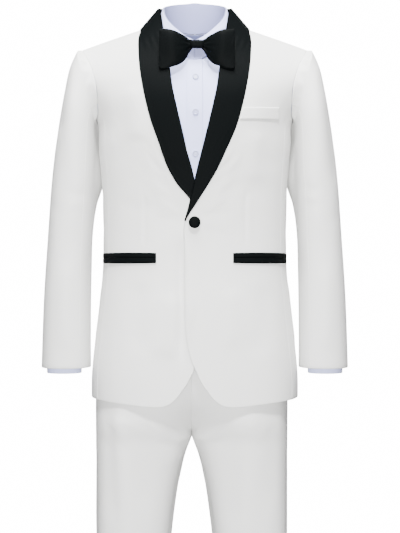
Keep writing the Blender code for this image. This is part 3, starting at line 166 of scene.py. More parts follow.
def refine(points, triangles, normals, count):
    """Curved triangles through the CAD's points, each cut into count x count smaller ones."""
    following = boundary_next(triangles)
    tangents = boundary_tangents(points, normals, following)
    corners, ways = points[triangles], normals[triangles]

    def handle(start, end):
        """Control point a third of the way from one corner to the next, in its plane."""
        lean = ((corners[:, end] - corners[:, start]) * ways[:, start]).sum(axis=1)
        return (2 * corners[:, start] + corners[:, end] - lean[:, None] * ways[:, start]) / 3

    control = {(a, b): handle(a, b) for a in range(3) for b in range(3) if a != b}
    for index, triangle in enumerate(triangles.tolist()):
        for a, b in ((0, 1), (1, 2), (2, 0)):
            start, end = triangle[a], triangle[b]
            if following.get(start) != end:
                continue
            out, into = tangents[start][1], tangents[end][0]
            chord = points[end] - points[start]
            if out is None and into is None:
                continue
            if out is None:
                out = 2 * chord - into
                out = out - normals[start] * (out @ normals[start])
            if into is None:
                into = 2 * chord - out
                into = into - normals[end] * (into @ normals[end])
            control[(a, b)][index] = points[start] + out / 3
            control[(b, a)][index] = points[end] - into / 3
    middle = sum(control.values()) / 6
    middle = middle + (middle - corners.mean(axis=1)) / 2

    lattice = [(i, j) for i in range(count + 1) for j in range(count + 1 - i)]
    place = {key: index for index, key in enumerate(lattice)}
    share = np.array([(count - i - j, i, j) for i, j in lattice]) / count
    share = share.T[:, None, :, None]
    fine = (sum(corners[:, a, None] * share[a] ** 3 for a in range(3))
            + 3 * sum(held[:, None] * share[a] ** 2 * share[b] for (a, b), held in control.items())
            + 6 * middle[:, None] * share.prod(axis=0))
    fine_ways = unit(sum(ways[:, a, None] * share[a] for a in range(3)))

    # one number for each point that triangles share
    edge_number = {}
    total = len(points)
    numbers = np.empty((len(triangles), len(lattice)), np.int64)
    for index, triangle in enumerate(triangles.tolist()):
        row = numbers[index]
        row[:] = -1
        row[place[(0, 0)]], row[place[(count, 0)]], row[place[(0, count)]] = triangle
        sides = (((0, 1), [(k, 0) for k in range(1, count)]),
                 ((1, 2), [(count - k, k) for k in range(1, count)]),
                 ((0, 2), [(0, k) for k in range(1, count)]))
        for (a, b), keys in sides:
            start, end = triangle[a], triangle[b]
            name = (min(start, end), max(start, end))
            if name not in edge_number:
                edge_number[name] = total
                total += count - 1
            first = edge_number[name]
            for k, key in enumerate(keys):
                row[place[key]] = first + (k if start < end else count - 2 - k)
        for i in range(1, count):
            for j in range(1, count - i):
                row[place[(i, j)]] = total
                total += 1
    small = []
    for i in range(count):
        for j in range(count - i):
            small.append((place[(i, j)], place[(i + 1, j)], place[(i, j + 1)]))
            if i + j < count - 1:
                small.append((place[(i + 1, j)], place[(i + 1, j + 1)], place[(i, j + 1)]))
    fine_points, fine_normals = np.zeros((total, 3)), np.zeros((total, 3))
    fine_points[numbers.reshape(-1)] = fine.reshape(-1, 3)
    fine_normals[numbers.reshape(-1)] = fine_ways.reshape(-1, 3)
    return fine_points, numbers[:, np.array(small)].reshape(-1, 3), fine_normals


EASE_IN, EASE_OUT = 0.5, -0.52      # steps of smoothing that keep the size


def relaxed(points, triangles, rounds):
    """Even out what is left of the CAD's facets, with the boundary held."""
    pairs = np.unique(np.sort(np.concatenate(
        [triangles[:, [0, 1]], triangles[:, [1, 2]], triangles[:, [2, 0]]]), axis=1), axis=0)
    count = np.bincount(pairs.reshape(-1), minlength=len(points))[:, None]
    free = np.ones(len(points), bool)
    following = boundary_next(triangles)
    free[list(following)] = False
    for index in range(2 * rounds):
        total = np.zeros_like(points)
        np.add.at(total, pairs[:, 0], points[pairs[:, 1]])
        np.add.at(total, pairs[:, 1], points[pairs[:, 0]])
        step = total / count - points
        points = points + np.where(free[:, None], step * (EASE_OUT if index % 2 else EASE_IN), 0)
    return points


# -------- folds
def fade(low, high, value):
    """0 at low and 1 at high, smooth between. high may be under low."""
    share = np.clip((value - low) / (high - low), 0, 1)
    return share * share * (3 - 2 * share)


# Columns: the level axis that a view shows, and the way that faces it
VIEWS = {"front": (0, FRONT), "back": (0, -FRONT), "left": (1, LEFT), "right": (1, -LEFT)}


def along(points, line):
    """How near each point is to a line of 2-D points, and how far along it."""
    best = np.full(len(points), np.inf)
    share = np.zeros(len(points))
    lengths = np.linalg.norm(np.diff(line, axis=0), axis=1)
    total, walked = lengths.sum(), 0.0
    for start, end, length in zip(line[:-1], line[1:], lengths):
        way = (end - start) / length
        t = np.clip((points - start) @ way, 0, length)
        distance = np.linalg.norm(points - start - t[:, None] * way, axis=1)
        nearer = distance < best
        best = np.where(nearer, distance, best)
        share = np.where(nearer, (walked + t) / total, share)
        walked += length
    return best, share


def curved(line, spans=6):
    """A smooth curve through a fold's few points."""
    line = np.array(line, float).reshape(-1, 2)
    padded = np.vstack([2 * line[0] - line[1], line, 2 * line[-1] - line[-2]])
    found = []
    for index in range(1, len(padded) - 2):
        a, b, c, d = padded[index - 1:index + 3]
        for step in range(spans):
            t = step / spans
            found.append(0.5 * ((2 * b) + (c - a) * t + (2 * a - 5 * b + 4 * c - d) * t ** 2
                                + (3 * b - a - 3 * c + d) * t ** 3))
    found.append(line[-1])
    return np.array(found)


# Folds: soft troughs (negative) and ridges, each a curve seen from one side of the figure,
# under the group of pieces that they cross, or one piece, and the side.
# Columns: height, half width, then each point's place across and z, all in mm.
FOLDS = {
    ("body", "front"): (
        # waist darts, and the chest and waist beside them
        (-1.5, 3.6, -94, -334, -95, -385, -96, -446),
        (0.8, 5.5, -102, -338, -103, -385, -104, -440),
        (-1.5, 3.6, 97, -330, 97, -382, 98, -442),
        (0.8, 5.5, 105, -334, 105, -382, 106, -438),
        (2.5, 20, -122, -128, -112, -185, -108, -245),
        (2.2, 17, 118, -214, 112, -262, 116, -322),
        (-0.8, 18, 64, -322, 106, -338, 158, -326),
        (-0.7, 15, -60, -352, -104, -366, -150, -352),
        # the chest falls away to the arms
        (-1.7, 22, -148, -110, -144, -170, -146, -240, -150, -300),
        (-1.9, 22, 150, -118, 146, -180, 148, -240, 152, -310),
        # short pulls from the button
        (-0.6, 8, 8, -388, 38, -378, 78, -374),
        (-0.5, 7, 10, -402, 34, -412, 66, -418),
        (-0.5, 8, -14, -398, -44, -388, -82, -390),
        (0.5, 10, -16, -412, -48, -428, -72, -452),
        # the overlap's edge throws a soft fall beside it
        (-2.9, 9, -26, -418, -27, -500, -25, -590, -28, -660),
        (1.4, 10, -6, -430, -5, -510, -8, -600),
        # the skirt below the pockets
        (2.5, 24, -42, -520, -46, -590, -58, -660),
        (-2.0, 20, -104, -500, -110, -572, -104, -650),
        (1.8, 18, 66, -512, 74, -580, 72, -640),
        (-1.9, 20, 126, -508, 132, -580, 122, -655),
    ),
    ("body", "left"): (
        # the sides
        (-2.0, 14, -6, -232, 4, -300, -2, -352),
        (1.8, 12, 24, -226, 32, -290, 26, -338),
        (-0.8, 15, -30, -402, 4, -412, 44, -400),
        (2.0, 20, -20, -500, -24, -570, -16, -640),
    ),
    ("body", "right"): (
        (-2.1, 14, 2, -236, -6, -296, 4, -356),
        (1.6, 12, -28, -240, -24, -302, -30, -340),
        (-0.8, 14, -34, -396, 2, -408, 40, -404),
        (1.9, 19, 14, -506, 20, -572, 12, -636),
    ),
    ("body", "back"): (
        # the back: blades, waist and seat
        (-1.9, 20, -152, -100, -146, -168, -142, -240),
        (-1.7, 18, 154, -106, 148, -170, 144, -232),
        (2.2, 24, -84, -120, -92, -180, -84, -244),
        (2.0, 22, 88, -126, 94, -190, 90, -250),
        (-0.9, 13, -122, -352, -60, -368, -14, -360),
        (-1.0, 15, 16, -374, 74, -388, 134, -370),
        (-0.7, 11, -104, -404, -52, -412, -12, -406),
        (2.1, 26, -70, -470, -78, -560, -72, -650),
        (1.9, 24, 76, -480, 84, -566, 80, -656),
        (-1.7, 18, -4, -440, 2, -540, -2, -640),
    ),
    ("sleeve_left", "front"): (
        # long falls down the arm and short bends at the elbow
        (2.5, 15, 236, -120, 240, -220, 236, -330, 246, -450),
        (-2.1, 12, 262, -150, 268, -236, 272, -330),
        (-0.9, 9, 208, -318, 228, -330, 250, -326),
        (-0.7, 8, 212, -356, 230, -362, 246, -358),
        (-0.7, 10, 282, -372, 266, -388, 248, -392),
        (1.9, 13, 250, -470, 256, -560, 252, -650),
        # the sleeves' fronts stand a little proud of the armhole seams
        (1.6, 7, 191, -120, 187, -150, 185, -180, 187, -210),
    ),
    ("sleeve_right", "front"): (
        (2.7, 15, -232, -110, -238, -210, -232, -322, -242, -440),
        (-2.5, 13, -250, -84, -262, -150, -268, -228),
        (-0.9, 9, -206, -330, -224, -340, -246, -334),
        (-0.7, 8, -212, -370, -232, -378, -252, -372),
        (-0.6, 9, -284, -352, -270, -366, -254, -370),
        (2.0, 13, -246, -462, -252, -556, -250, -652),
        (1.6, 7, -191, -120, -187, -150, -185, -180, -187, -210),
    ),
    ("sleeve_left", "back"): (
        (2.3, 16, 232, -150, 240, -250, 246, -350),
        (-1.1, 9, 212, -322, 238, -338, 268, -334),
        (-0.9, 9, 214, -366, 240, -378, 272, -370),
        (-0.8, 8, 222, -410, 246, -416, 268, -410),
    ),
    ("sleeve_right", "back"): (
        (2.5, 16, -228, -140, -238, -244, -244, -340),
        (-1.2, 9, -210, -334, -236, -350, -266, -342),
        (-0.9, 9, -216, -378, -242, -388, -270, -384),
        (-0.7, 8, -220, -424, -244, -428, -264, -420),
    ),
    ("sleeve_left", "left"): (
        (-1.9, 11, -26, -96, -32, -176, -26, -260),
        (1.7, 13, 14, -110, 18, -210, 6, -300),
    ),
    ("sleeve_right", "right"): (
        (-1.9, 11, -24, -102, -30, -170, -28, -250),
        (1.7, 13, 16, -118, 18, -206, 8, -310),
    ),
    ("sleeve_left", "right"): (
        # the underside fills the gap below the armhole
        (6.5, 15, 8, -188, 22, -206, 30, -228, 32, -252),
    ),
    ("sleeve_right", "left"): (
        (6.5, 15, 8, -188, 22, -206, 30, -228, 32, -252),
    ),
    ("jacket_front_right", "front"): (
        # where the wearer's left front laps over the right one
        (-2.6, 10, -26, -395, -26, -450, -25, -560, -23, -640, -18, -690),
    ),
    ("jacket_front_left", "front"): (
        (1.3, 6, -13, -405, -13, -480, -12, -560, -10, -640),
    ),
    ("trousers", "front"): (
        # falls down each leg, pulls at the fork, bends at knee and hem
        (3.2, 17, -142, -700, -140, -820, -132, -960, -128, -1080),
        (-2.8, 19, -96, -720, -92, -840, -96, -960),
        (-2.2, 15, -168, -730, -164, -850, -158, -980),
        (2.8, 18, 104, -700, 108, -830, 102, -960, 98, -1090),
        (-2.6, 18, 62, -760, 66, -870, 70, -990),
        (-2.0, 15, 150, -720, 148, -840, 142, -960),
        (-1.5, 10, -16, -806, -44, -778, -84, -764),
        (-1.1, 9, -18, -832, -48, -820, -78, -818),
        (0.8, 9, -18, -846, -44, -850, -70, -862),
        (-1.3, 10, 4, -800, 34, -772, 74, -760),
        (-1.0, 9, 8, -828, 36, -816, 62, -812),
        (-0.9, 13, -130, -1082, -98, -1096, -62, -1086),
        (-0.8, 11, -122, -1128, -94, -1136, -66, -1126),
        (-0.9, 13, 54, -1076, 88, -1092, 122, -1078),
        (-0.7, 11, 60, -1122, 86, -1132, 112, -1120),
        (-1.2, 13, -122, -1508, -92, -1518, -58, -1506),
        (0.8, 11, -120, -1536, -90, -1544, -60, -1534),
        (-1.1, 12, 48, -1502, 82, -1514, 112, -1504),
        (0.8, 11, 52, -1532, 82, -1540, 110, -1530),
    ),
    ("trousers", "back"): (
        (-1.5, 13, -18, -846, -52, -822, -98, -806),
        (-1.3, 12, -22, -872, -56, -856, -96, -850),
        (-1.4, 13, 10, -840, 46, -818, 88, -804),
        (-1.2, 12, 14, -870, 50, -856, 86, -852),
        (2.8, 22, -92, -900, -96, -1000, -90, -1090),
        (2.6, 22, 82, -890, 88, -1000, 84, -1100),
        (-1.3, 13, -128, -1072, -94, -1090, -58, -1078),
        (-1.0, 12, -124, -1118, -92, -1132, -60, -1120),
        (-1.2, 13, 50, -1066, 86, -1086, 120, -1070),
        (-1.0, 12, 54, -1114, 86, -1128, 116, -1112),
        (-1.2, 14, -120, -1500, -88, -1514, -58, -1502),
        (-1.2, 13, 48, -1496, 80, -1510, 112, -1498),
    ),
    ("trousers", "left"): (
        (-2.2, 15, -30, -820, -26, -930, -30, -1030),
        (2.2, 17, 20, -840, 24, -960, 16, -1060),
    ),
    ("trousers", "right"): (
        (-2.2, 15, -26, -826, -30, -940, -26, -1040),
        (2.0, 17, 22, -850, 18, -970, 24, -1070),
    ),
    ("shirt", "front"): (
        # two small tucks under the knot, and a soft fall on each side of the placket
        (-1.1, 3.0, -12, -62, -13, -78, -15, -98),
        (-1.1, 3.0, 20, -62, 21, -78, 23, -98),
        (0.9, 8, 34, -120, 33, -190, 28, -260),
        (0.9, 8, -30, -118, -31, -180, -26, -250),
    ),
}
FOLD_END = 0.22           # the share of a fold's length over which it starts and ends
FOLD_TURN = (0.05, 0.45)  # it fades where the cloth turns away from its side


def displaced(points, normals, groups):
    """How far each point moves along its normal for the folds that cross it."""
    move = np.zeros(len(points))
    for (group, view), folds in FOLDS.items():
        if group not in groups:
            continue
        column, facing = VIEWS[view]
        turned_to = fade(*FOLD_TURN, normals @ facing)
        for height, half_width, *line in folds:
            distance, share = along(points[:, [column, 2]], curved(line) * MM)
            ends = fade(0, FOLD_END, share) * fade(0, FOLD_END, 1 - share)
            move += (height * MM * np.exp(-(distance / (half_width * MM)) ** 2) * ends
                     * turned_to)
    return move


# -------- materials
def new_material(name):
    """A material with its nodes, links and shader."""
    made = bpy.data.materials.new(name)
    made.use_nodes = True
    tree = made.node_tree
    return made, tree.nodes, tree.links, tree.nodes["Principled BSDF"]


def given(node, values):
    """Sets a node's inputs."""
    for name, value in values.items():
        node.inputs[name].default_value = value
    return node


def added(nodes, kind, values={}, **settings):
    """A new shader node, with its settings and its inputs' values."""
    made = nodes.new("ShaderNode" + kind)
    for name, value in settings.items():
        setattr(made, name, value)
    return given(made, values)


TONE_SCALE, FIBRE_SCALE = 7, 1.6    # slow changes of tone; fibres for each weave's unit
SPECK = 0.10                        # how much the fibres show
THREAD_DEPTH = 0.00015


def cloth_material(name, colour, shade, roughness, sheen, weave, strength, shine, satin):
    """Woven cloth: crossing threads or satin floats as bump, and faint changes of colour,
    slow ones over the garment and fine ones from thread to thread."""
    made, nodes, links, shader = new_material(name)
    place = added(nodes, "TexCoord").outputs["Object"]

    def placed(kind, values, **settings):
        texture = added(nodes, kind, values, **settings)
        links.new(place, texture.inputs["Vector"])
        return texture.outputs

    def threads(direction, scale, distortion):
        return placed("TexWave", {"Scale": scale, "Distortion": distortion, "Detail": 1},
                      wave_type="BANDS", bands_direction=direction)["Fac"]

    slow = placed("TexNoise", {"Scale": TONE_SCALE, "Detail": 2})
    fibre = placed("TexNoise", {"Scale": weave * FIBRE_SCALE, "Detail": 2})
    tone = added(nodes, "Mix", {"A": (*colour, 1), "B": (*shade, 1)}, data_type="RGBA")
    links.new(slow["Fac"], tone.inputs["Factor"])
    speck = added(nodes, "Mix", {"Factor": SPECK}, data_type="RGBA", blend_type="MULTIPLY")
    links.new(tone.outputs["Result"], speck.inputs["A"])
    links.new(fibre["Color"], speck.inputs["B"])
    links.new(speck.outputs["Result"], shader.inputs["Base Color"])
    first = threads("Z" if satin else "DIAGONAL", weave, 0.8)
    second = threads("X", weave * (0.35 if satin else 1.3), 1.2)
    height = added(nodes, "Math", {1: 0.35}, operation="MULTIPLY_ADD")
    links.new(second, height.inputs[0])
    links.new(first, height.inputs[2])
    bump = added(nodes, "Bump", {"Strength": strength, "Distance": THREAD_DEPTH})
    links.new(height.outputs["Value"], bump.inputs["Height"])
    links.new(bump.outputs["Normal"], shader.inputs["Normal"])
    given(shader, {"Roughness": roughness, "Sheen Weight": sheen, "Sheen Roughness": 0.45,
                   "Specular IOR Level": shine})
    return made


WOOL, WOOL_SHADE = (0.80, 0.80, 0.785), (0.765, 0.765, 0.75)
BLACK, BLACK_SHADE = (0.0019, 0.0025, 0.0026), (0.0027, 0.0034, 0.0036)
# Both pearl colours are darker than the shirt's: painted shade, standing in for the shaded ring
# round each button.
PEARL_WITH_PAINTED_SHADE, PEARL_SHADE = (0.42, 0.45, 0.66), (0.36, 0.39, 0.60)
# Columns: colour, its shade, roughness, sheen, threads' scale, their strength, shine, satin
MATERIALS = {name: cloth_material(name, *row) for name, row in {
    "suiting": (WOOL, WOOL_SHADE, 0.85, 0.12, 620, 0.35, 0.2, False),
    "trousering": (WOOL, WOOL_SHADE, 0.85, 0.12, 620, 0.35, 0.2, False),
    "satin": (BLACK, BLACK_SHADE, 0.5, 0.0, 1100, 0.12, 0.012, True),
    "bow_satin": (BLACK, BLACK_SHADE, 0.5, 0.0, 1100, 0.12, 0.02, True),
    "shirting": ((0.60, 0.64, 0.96), (0.57, 0.61, 0.93), 0.8, 0.08, 1000, 0.2, 0.2, False),
    # painted shade: a darker, bluer copy of the shirting, for the neckband
    "neckband_painted_shade": ((0.34, 0.36, 0.60), (0.31, 0.33, 0.57), 0.8, 0.08, 1000, 0.2, 0.2, False),
    "button": (PEARL_WITH_PAINTED_SHADE, PEARL_SHADE, 0.3, 0.0, 260, 0.04, 0.4, False),
}.items()}
# The neckband gets a darker, bluer copy of the shirting: painted shade for the inside of the
# collar, which lies in the neck's shadow.
DRESSED_AS = {"shirt_collar_stand": "neckband_painted_shade"}


def dress(obj, slot):
    """Puts a slot's material on an object."""
    obj.data.materials.clear()
    obj.data.materials.append(MATERIALS[slot])


# -------- building a cloth shell
RIM_INSET = 0.0011       # the sheet's boundary moves in by this, and the rim swells out again
RIM_SPREAD = 1.6         # the most a corner's rim is spread
TURNED_FROM = 0.4        # an edge of this share of the thickness or more is turned
TURNED_RINGS = (65, 40, 14, -14, -40, -65)      # degrees round a turned edge
ROLL_BACK = 0.65         # how far a rolled edge is set back, as a share of its half depth
# Columns: height as a share of half the wall, and how far past the edge (m)
SEAM_RINGS = ((0.62, -0.00025), (0.25, 0.0), (-0.25, 0.0), (-0.75, -0.00015))


def loops_of(following):
    """The boundary as closed loops of points."""
    left, loops = dict(following), []
    while left:
        start = next(iter(left))
        loop = [start]
        here = left.pop(start)
        while here != start:
            loop.append(here)
            here = left.pop(here)
        loops.append(np.array(loop))
    return loops


def shell(name, points, triangles, normals, thickness, edge, wrap=None):
    """A closed thin wall under a fine sheet. edge is the rim's roundness in metres: half the
    thickness or more is a turned edge, and little is a seam. wrap gives each point how deep
    its edge rolls over, where that is more than the wall's own thickness."""
    wrap = np.full(len(points), thickness) if wrap is None else np.maximum(wrap, thickness)
    inner = points - normals * thickness
    inner_start = len(points)
    blocks, faces, quads = [inner], [triangles, triangles[:, ::-1] + inner_start], []
    moved = points.copy()
    total = 2 * len(points)
    for loop in loops_of(boundary_next(triangles)):
        here = points[loop]
        way_in = unit(here - points[np.roll(loop, 1)])
        way_out = unit(points[np.roll(loop, -1)] - here)
        out = unit(np.cross(unit(way_in + way_out), normals[loop]))
        sharp = np.clip((way_in * way_out).sum(axis=1), -0.6, 1)
        spread = np.minimum(1 / np.sqrt((1 + sharp) / 2), RIM_SPREAD)[:, None]
        moved[loop] = here - out * RIM_INSET * spread
        inner[loop] = inner[loop] - out * RIM_INSET * spread
        half = wrap[loop][:, None] / 2
        centre = here - normals[loop] * half
        rings = []
        if edge >= TURNED_FROM * thickness:
            rolled = np.clip((half * 2 - thickness) / thickness, 0, 1)
            reach = edge * (1 - rolled) + half * rolled
            back = edge * (1 - rolled) + ROLL_BACK * half * rolled
            for degrees in TURNED_RINGS:
                turn = math.radians(degrees)
                rings.append(centre + normals[loop] * half * math.sin(turn)
                             + out * (reach * math.cos(turn) - back) * spread)
        else:
            for up, away in SEAM_RINGS:
                rings.append(centre + normals[loop] * half * up + out * (edge + away) * spread)
        order = np.arange(len(loop))
        rows = [loop]
        for ring in rings:
            rows.append(total + order)
            blocks.append(ring)
            total += len(ring)
        rows.append(loop + inner_start)
        for upper, lower in zip(rows, rows[1:]):
            quads.append(np.stack([upper, lower, np.roll(lower, -1), np.roll(upper, -1)], axis=1))
    return make_mesh(name, np.vstack([moved] + blocks), np.vstack(faces), np.vstack(quads))


def make_mesh(name, points, triangles, quads=None):
    """A smooth object from its faces."""
    mesh = bpy.data.meshes.new(name)
    faces = np.asarray(triangles).tolist() + ([] if quads is None else quads.tolist())
    mesh.from_pydata(np.asarray(points).tolist(), [], faces)
    mesh.validate()
    mesh.update()
    mesh.shade_smooth()
    made = bpy.data.objects.new(name, mesh)
    bpy.context.scene.collection.objects.link(made)
    return made


# -------- the cloth pieces
# * stands for left and right. Columns: node, group, thickness in mm, cuts, edge in mm, held,
# cut's width and length in m, its area in m2, what it rests on
PATTERN = (
    ("jacket_front_*", "body", 2.0, 10, 1.0, "hung", 0.27, 0.76, 0.15, "shirt_front_*"),
    ("jacket_side_*", "body", 2.0, 7, 0.1, "hung", 0.135, 0.58, 0.068, "shirt_back"),
    ("jacket_back_*", "body", 2.0, 8, 0.1, "hung", 0.24, 0.75, 0.158, "shirt_back"),
    ("jacket_sleeve_top_*", "sleeve_*", 2.0, 8, 0.1, "hung", 0.26, 0.655, 0.148, "shirt_sleeve_*"),
    ("jacket_sleeve_under_*", "sleeve_*", 2.0, 8, 0.1, "hung", 0.15, 0.53, 0.06, "shirt_sleeve_*"),
    ("jacket_collar_stand", "body", 1.6, 5, 0.1, "stretched", 0.36, 0.037, 0.0131,
     "shirt_collar_leaf"),
    ("shawl_*", "body", 1.6, 7, 0.8, "folded", 0.075, 0.6, 0.0285, "jacket_front_*"),
    ("hip_pocket_upper_left", "body", 1.4, 7, 0.7, "folded", 0.107, 0.02, 0.00205,
     "jacket_front_left"),
    ("hip_pocket_lower_left", "body", 1.4, 7, 0.7, "folded", 0.107, 0.02, 0.00205,
     "jacket_front_left"),
    ("hip_pocket_upper_right", "body", 1.4, 7, 0.7, "folded", 0.107, 0.02, 0.00205,
     "jacket_front_right"),
    ("hip_pocket_lower_right", "body", 1.4, 7, 0.7, "folded", 0.107, 0.02, 0.00205,
     "jacket_front_right"),
    ("breast_welt", "body", 1.4, 8, 0.7, "folded", 0.076, 0.026, 0.00175, "jacket_front_left"),
    ("shirt_front_left", "shirt", 1.2, 6, 0.1, "hung", 0.26, 0.7, 0.141, "shirt_back"),
    ("shirt_front_right", "shirt", 1.2, 6, 0.1, "hung", 0.28, 0.7, 0.16, "shirt_back"),
    ("shirt_back", "shirt", 1.2, 4, 0.1, "hung", 0.5, 0.72, 0.303, "shirt_front_left"),
    ("shirt_placket", "shirt", 1.2, 5, 0.6, "hung", 0.0312, 0.61, 0.0188, "shirt_front_left"),
    ("shirt_sleeve_*", "shirt", 1.2, 4, 0.1, "hung", 0.31, 0.58, 0.157, "shirt_front_*"),
    ("shirt_cuff_*", "shirt", 1.8, 5, 0.7, "stretched", 0.24, 0.061, 0.0142, "shirt_sleeve_*"),
    ("shirt_collar_stand", "shirt", 1.2, 5, 0.6, "stretched", 0.43, 0.049, 0.0203, "shirt_back"),
    ("shirt_collar_leaf", "shirt", 1.2, 6, 0.6, "folded", 0.45, 0.045, 0.0185,
     "shirt_collar_stand"),
    ("bow_band", "bow", 1.0, 4, 0.5, "stretched", 0.42, 0.0162, 0.0066, "shirt_collar_stand"),
    ("trouser_front_*", "trousers", 1.6, 8, 0.1, "hung", 0.29, 1.06, 0.246, "trouser_waistband"),
    ("trouser_back_*", "trousers", 1.6, 7, 0.1, "hung", 0.3, 1.06, 0.253, "trouser_waistband"),
    ("trouser_waistband", "trousers", 1.6, 4, 0.6, "stretched", 0.88, 0.039, 0.034, "shirt_back"),
)
CLOTH = [[entry.replace("*", side) if isinstance(entry, str) else entry for entry in row]
         for row in PATTERN for side in (("left", "right") if "*" in row[0] else ("",))]
TOWARD_FRONT = {"shawl_left", "shawl_right", "shirt_placket"}
# Folded strips that stand up round: how far, and over what half width, both in mm.
PIPED = {
    "hip_pocket": (1.0, 4.4),
    "breast_welt": (0.8, 3.5),
    "shirt_placket": (0.5, 2.5),
    "shirt_cuff": (0.5, 2.5),
}
JET_MOUTH = -0.462       # height of the hip pockets' mouths
JET_CLOSES = 0.00025     # how far each jet moves to the mouth
JET_SWELL = (1.05, 0.11)  # how much taller a jet is, at its ends and more in its middle
BOW_CENTRE = (0.0045, -0.0505)
WRAP_REACH = 0.006       # a lapel's edge rolls over edges that are this near
WRAP_DEEPEST = 0.0068
WRAP_OVER = 0.0005       # how much deeper than the piece under it

PIECES, SKINS = {}, {}      # finished pieces, and sheets' points and triangles, by node


def near_boundary(points, triangles, samples=4):
    """How far each point of a sheet is from its boundary."""
    tree = tree_of([points[start] + (points[end] - points[start]) * step / samples
                    for start, end in boundary_next(triangles).items()
                    for step in range(samples)])
    return np.array([tree.find(point)[2] for point in points])


def piped(node, points, triangles, normals):
    """A folded strip stands up round."""
    for start, (rise, half) in PIPED.items():
        if node.startswith(start):
            share = np.minimum(near_boundary(points, triangles) / (half * MM), 1)
            points = points + normals * (rise * MM * np.sqrt(1 - (1 - share) ** 2))[:, None]
    return points


def sewn_jet(points):
    """The two jets meet at the mouth and swell a little in the middle of their length."""
    x = np.abs(points[:, 0])
    share = (x - x.min()) / np.ptp(x)
    off = points[:, 2] - JET_MOUTH
    swell = JET_SWELL[0] + JET_SWELL[1] * np.sin(math.pi * np.clip(share, 0, 1)) ** 0.7
    points[:, 2] = JET_MOUTH + (off - np.sign(off) * JET_CLOSES) * swell
    return points


LAPEL_WIDER = 0.0075     # at the wearer's right lapel's lower end


def wider_tip(points):
    """The wearer's right lapel keeps its width where it runs in under the left one."""
    low = fade(-0.215, -0.300, points[:, 2])
    outer = fade(0.004, 0.030, -points[:, 0])
    points[:, 0] -= LAPEL_WIDER * low * outer
    return points


# The shirt collar's fold line. Columns: degrees round the neck from the front, the solid's
# height there and how much lower the soft fold lies (mm).
COLLAR_FOLD = ((0, -40, 0), (12, -26, 6), (24, -10, 9), (36, 4, 10), (48, 11, 10), (60, 18, 8),
               (72, 26.5, 4), (84, 33, 0), (180, 52, 0))
COLLAR_LEAN = 0.2        # how much wider the neckband gets for each millimetre down
FOLD_REACH = (28, 4)     # mm under the fold line: none of the dip, and all of it


def dipped(points):
    """The collar's fold lies lower at the sides of the front and opens there."""
    degrees = np.degrees(np.arctan2(np.abs(points[:, 0]), -points[:, 1]))
    turn, height, dip = (np.array(column) for column in zip(*COLLAR_FOLD))
    below = np.interp(degrees, turn, height) - points[:, 2] / MM
    drop = np.interp(degrees, turn, dip) * fade(*FOLD_REACH, below) * MM
    reach = np.hypot(points[:, 0], points[:, 1])
    points[:, :2] *= (1 + COLLAR_LEAN * drop / reach)[:, None]
    points[:, 2] -= drop
    return points


LEGS_APART = -0.006      # x of the plane between the legs
THIGH_LEVELS = np.arange(-0.94, -0.66, 0.01)
# How far the inner thighs may reach for each other. Columns: height, reach (both m).
THIGH_REACH = ((-0.91, 0), (-0.87, 0.0020), (-0.83, 0.0046), (-0.805, 0.0060), (-0.66, 0.0060))
THIGH_GAP = 0.00012      # at the fork each thigh stops this far from the plane,
THIGH_OVERLAP = 0.0007   # and below it each goes this much farther
THIGH_BLEND = (0.050, 0.004)    # metres past the innermost line: none of it, and all of it


def thighs_met(points):
    """The legs touch from the fork down to the crotch."""
    off = points[:, 0] - LEGS_APART
    away = np.abs(off)
    levels, nearest = [], []
    for level in THIGH_LEVELS:
        here = np.flatnonzero(np.abs(points[:, 2] - level) < 0.005)
        if len(here):
            inner = here[np.argmin(away[here])]
            levels.append(points[inner, 2])
            nearest.append(away[inner])
    order = np.argsort(levels)
    nearest = np.interp(points[:, 2], np.array(levels)[order], np.array(nearest)[order])
    reach = np.interp(points[:, 2], *zip(*THIGH_REACH))
    overlap = THIGH_OVERLAP * fade(-0.70, -0.75, points[:, 2])
    closer = np.maximum(np.minimum(nearest - THIGH_GAP + overlap, reach), 0)
    closer *= fade(*THIGH_BLEND, away - nearest)
    points[:, 0] -= np.sign(off) * closer
    return points


BAND_CLOSES = 0.00105    # how far each end of the neckband moves


def closed_ends(points):
    """The neckband's two ends meet behind the knot."""
    near = fade(0.012, 0.002, np.abs(points[:, 0])) * (points[:, 1] < -0.06)
    points[:, 0] -= np.sign(points[:, 0]) * BAND_CLOSES * near
    return points


BAND_SLIM = 0.40         # the bow's band behind the knot, as a share of its width


def slim_band(points):
    """The bow's band narrows behind the knot."""
    off = np.abs(points[:, 0] - BOW_CENTRE[0])
    narrow = BAND_SLIM + (1 - BAND_SLIM) * fade(0.012, 0.040, off)
    front = points[:, 1] < 0
    points[front, 2] = (BOW_CENTRE[1] + (points[:, 2] - BOW_CENTRE[1]) * narrow)[front]
    return points


def roll_depths(points, triangles, normals, under):
    """How deep a lapel's edge rolls over the edges of the pieces under it."""
    following = boundary_next(triangles)
    depth = np.zeros(len(points))
    for node, thickness in under:
        other, other_triangles = SKINS[node]
        tree = tree_of(other[list(boundary_next(other_triangles))])
        for index in following:
            found, _, distance = tree.find(points[index])
            if distance < WRAP_REACH:
                lift = float((points[index] - np.array(found)) @ normals[index])
                depth[index] = max(depth[index], min(lift + thickness + WRAP_OVER, WRAP_DEEPEST))
    for loop in loops_of(following):
        values = depth[loop]
        for _ in range(6):
            values = (np.roll(values, 1) + 2 * values + np.roll(values, -1)) / 4
        depth[loop] = values
    return depth


def add_piece(made, node):
    """A finished piece, in the place of its CAD node."""
    slot = SLOTS[node]
    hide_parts(node)
    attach(made, "root")
    dress(made, DRESSED_AS.get(node, slot))
    PIECES[node] = made


# What reshapes a sheet, by how its node's name starts
RESHAPED = (
    ("hip_pocket", sewn_jet),
    ("bow_band", slim_band),
    ("shirt_collar", dipped),
    ("shirt_collar_stand", closed_ends),
    ("trouser_front", thighs_met),
    ("trouser_back", thighs_met),
    ("shawl_right", wider_tip),
)


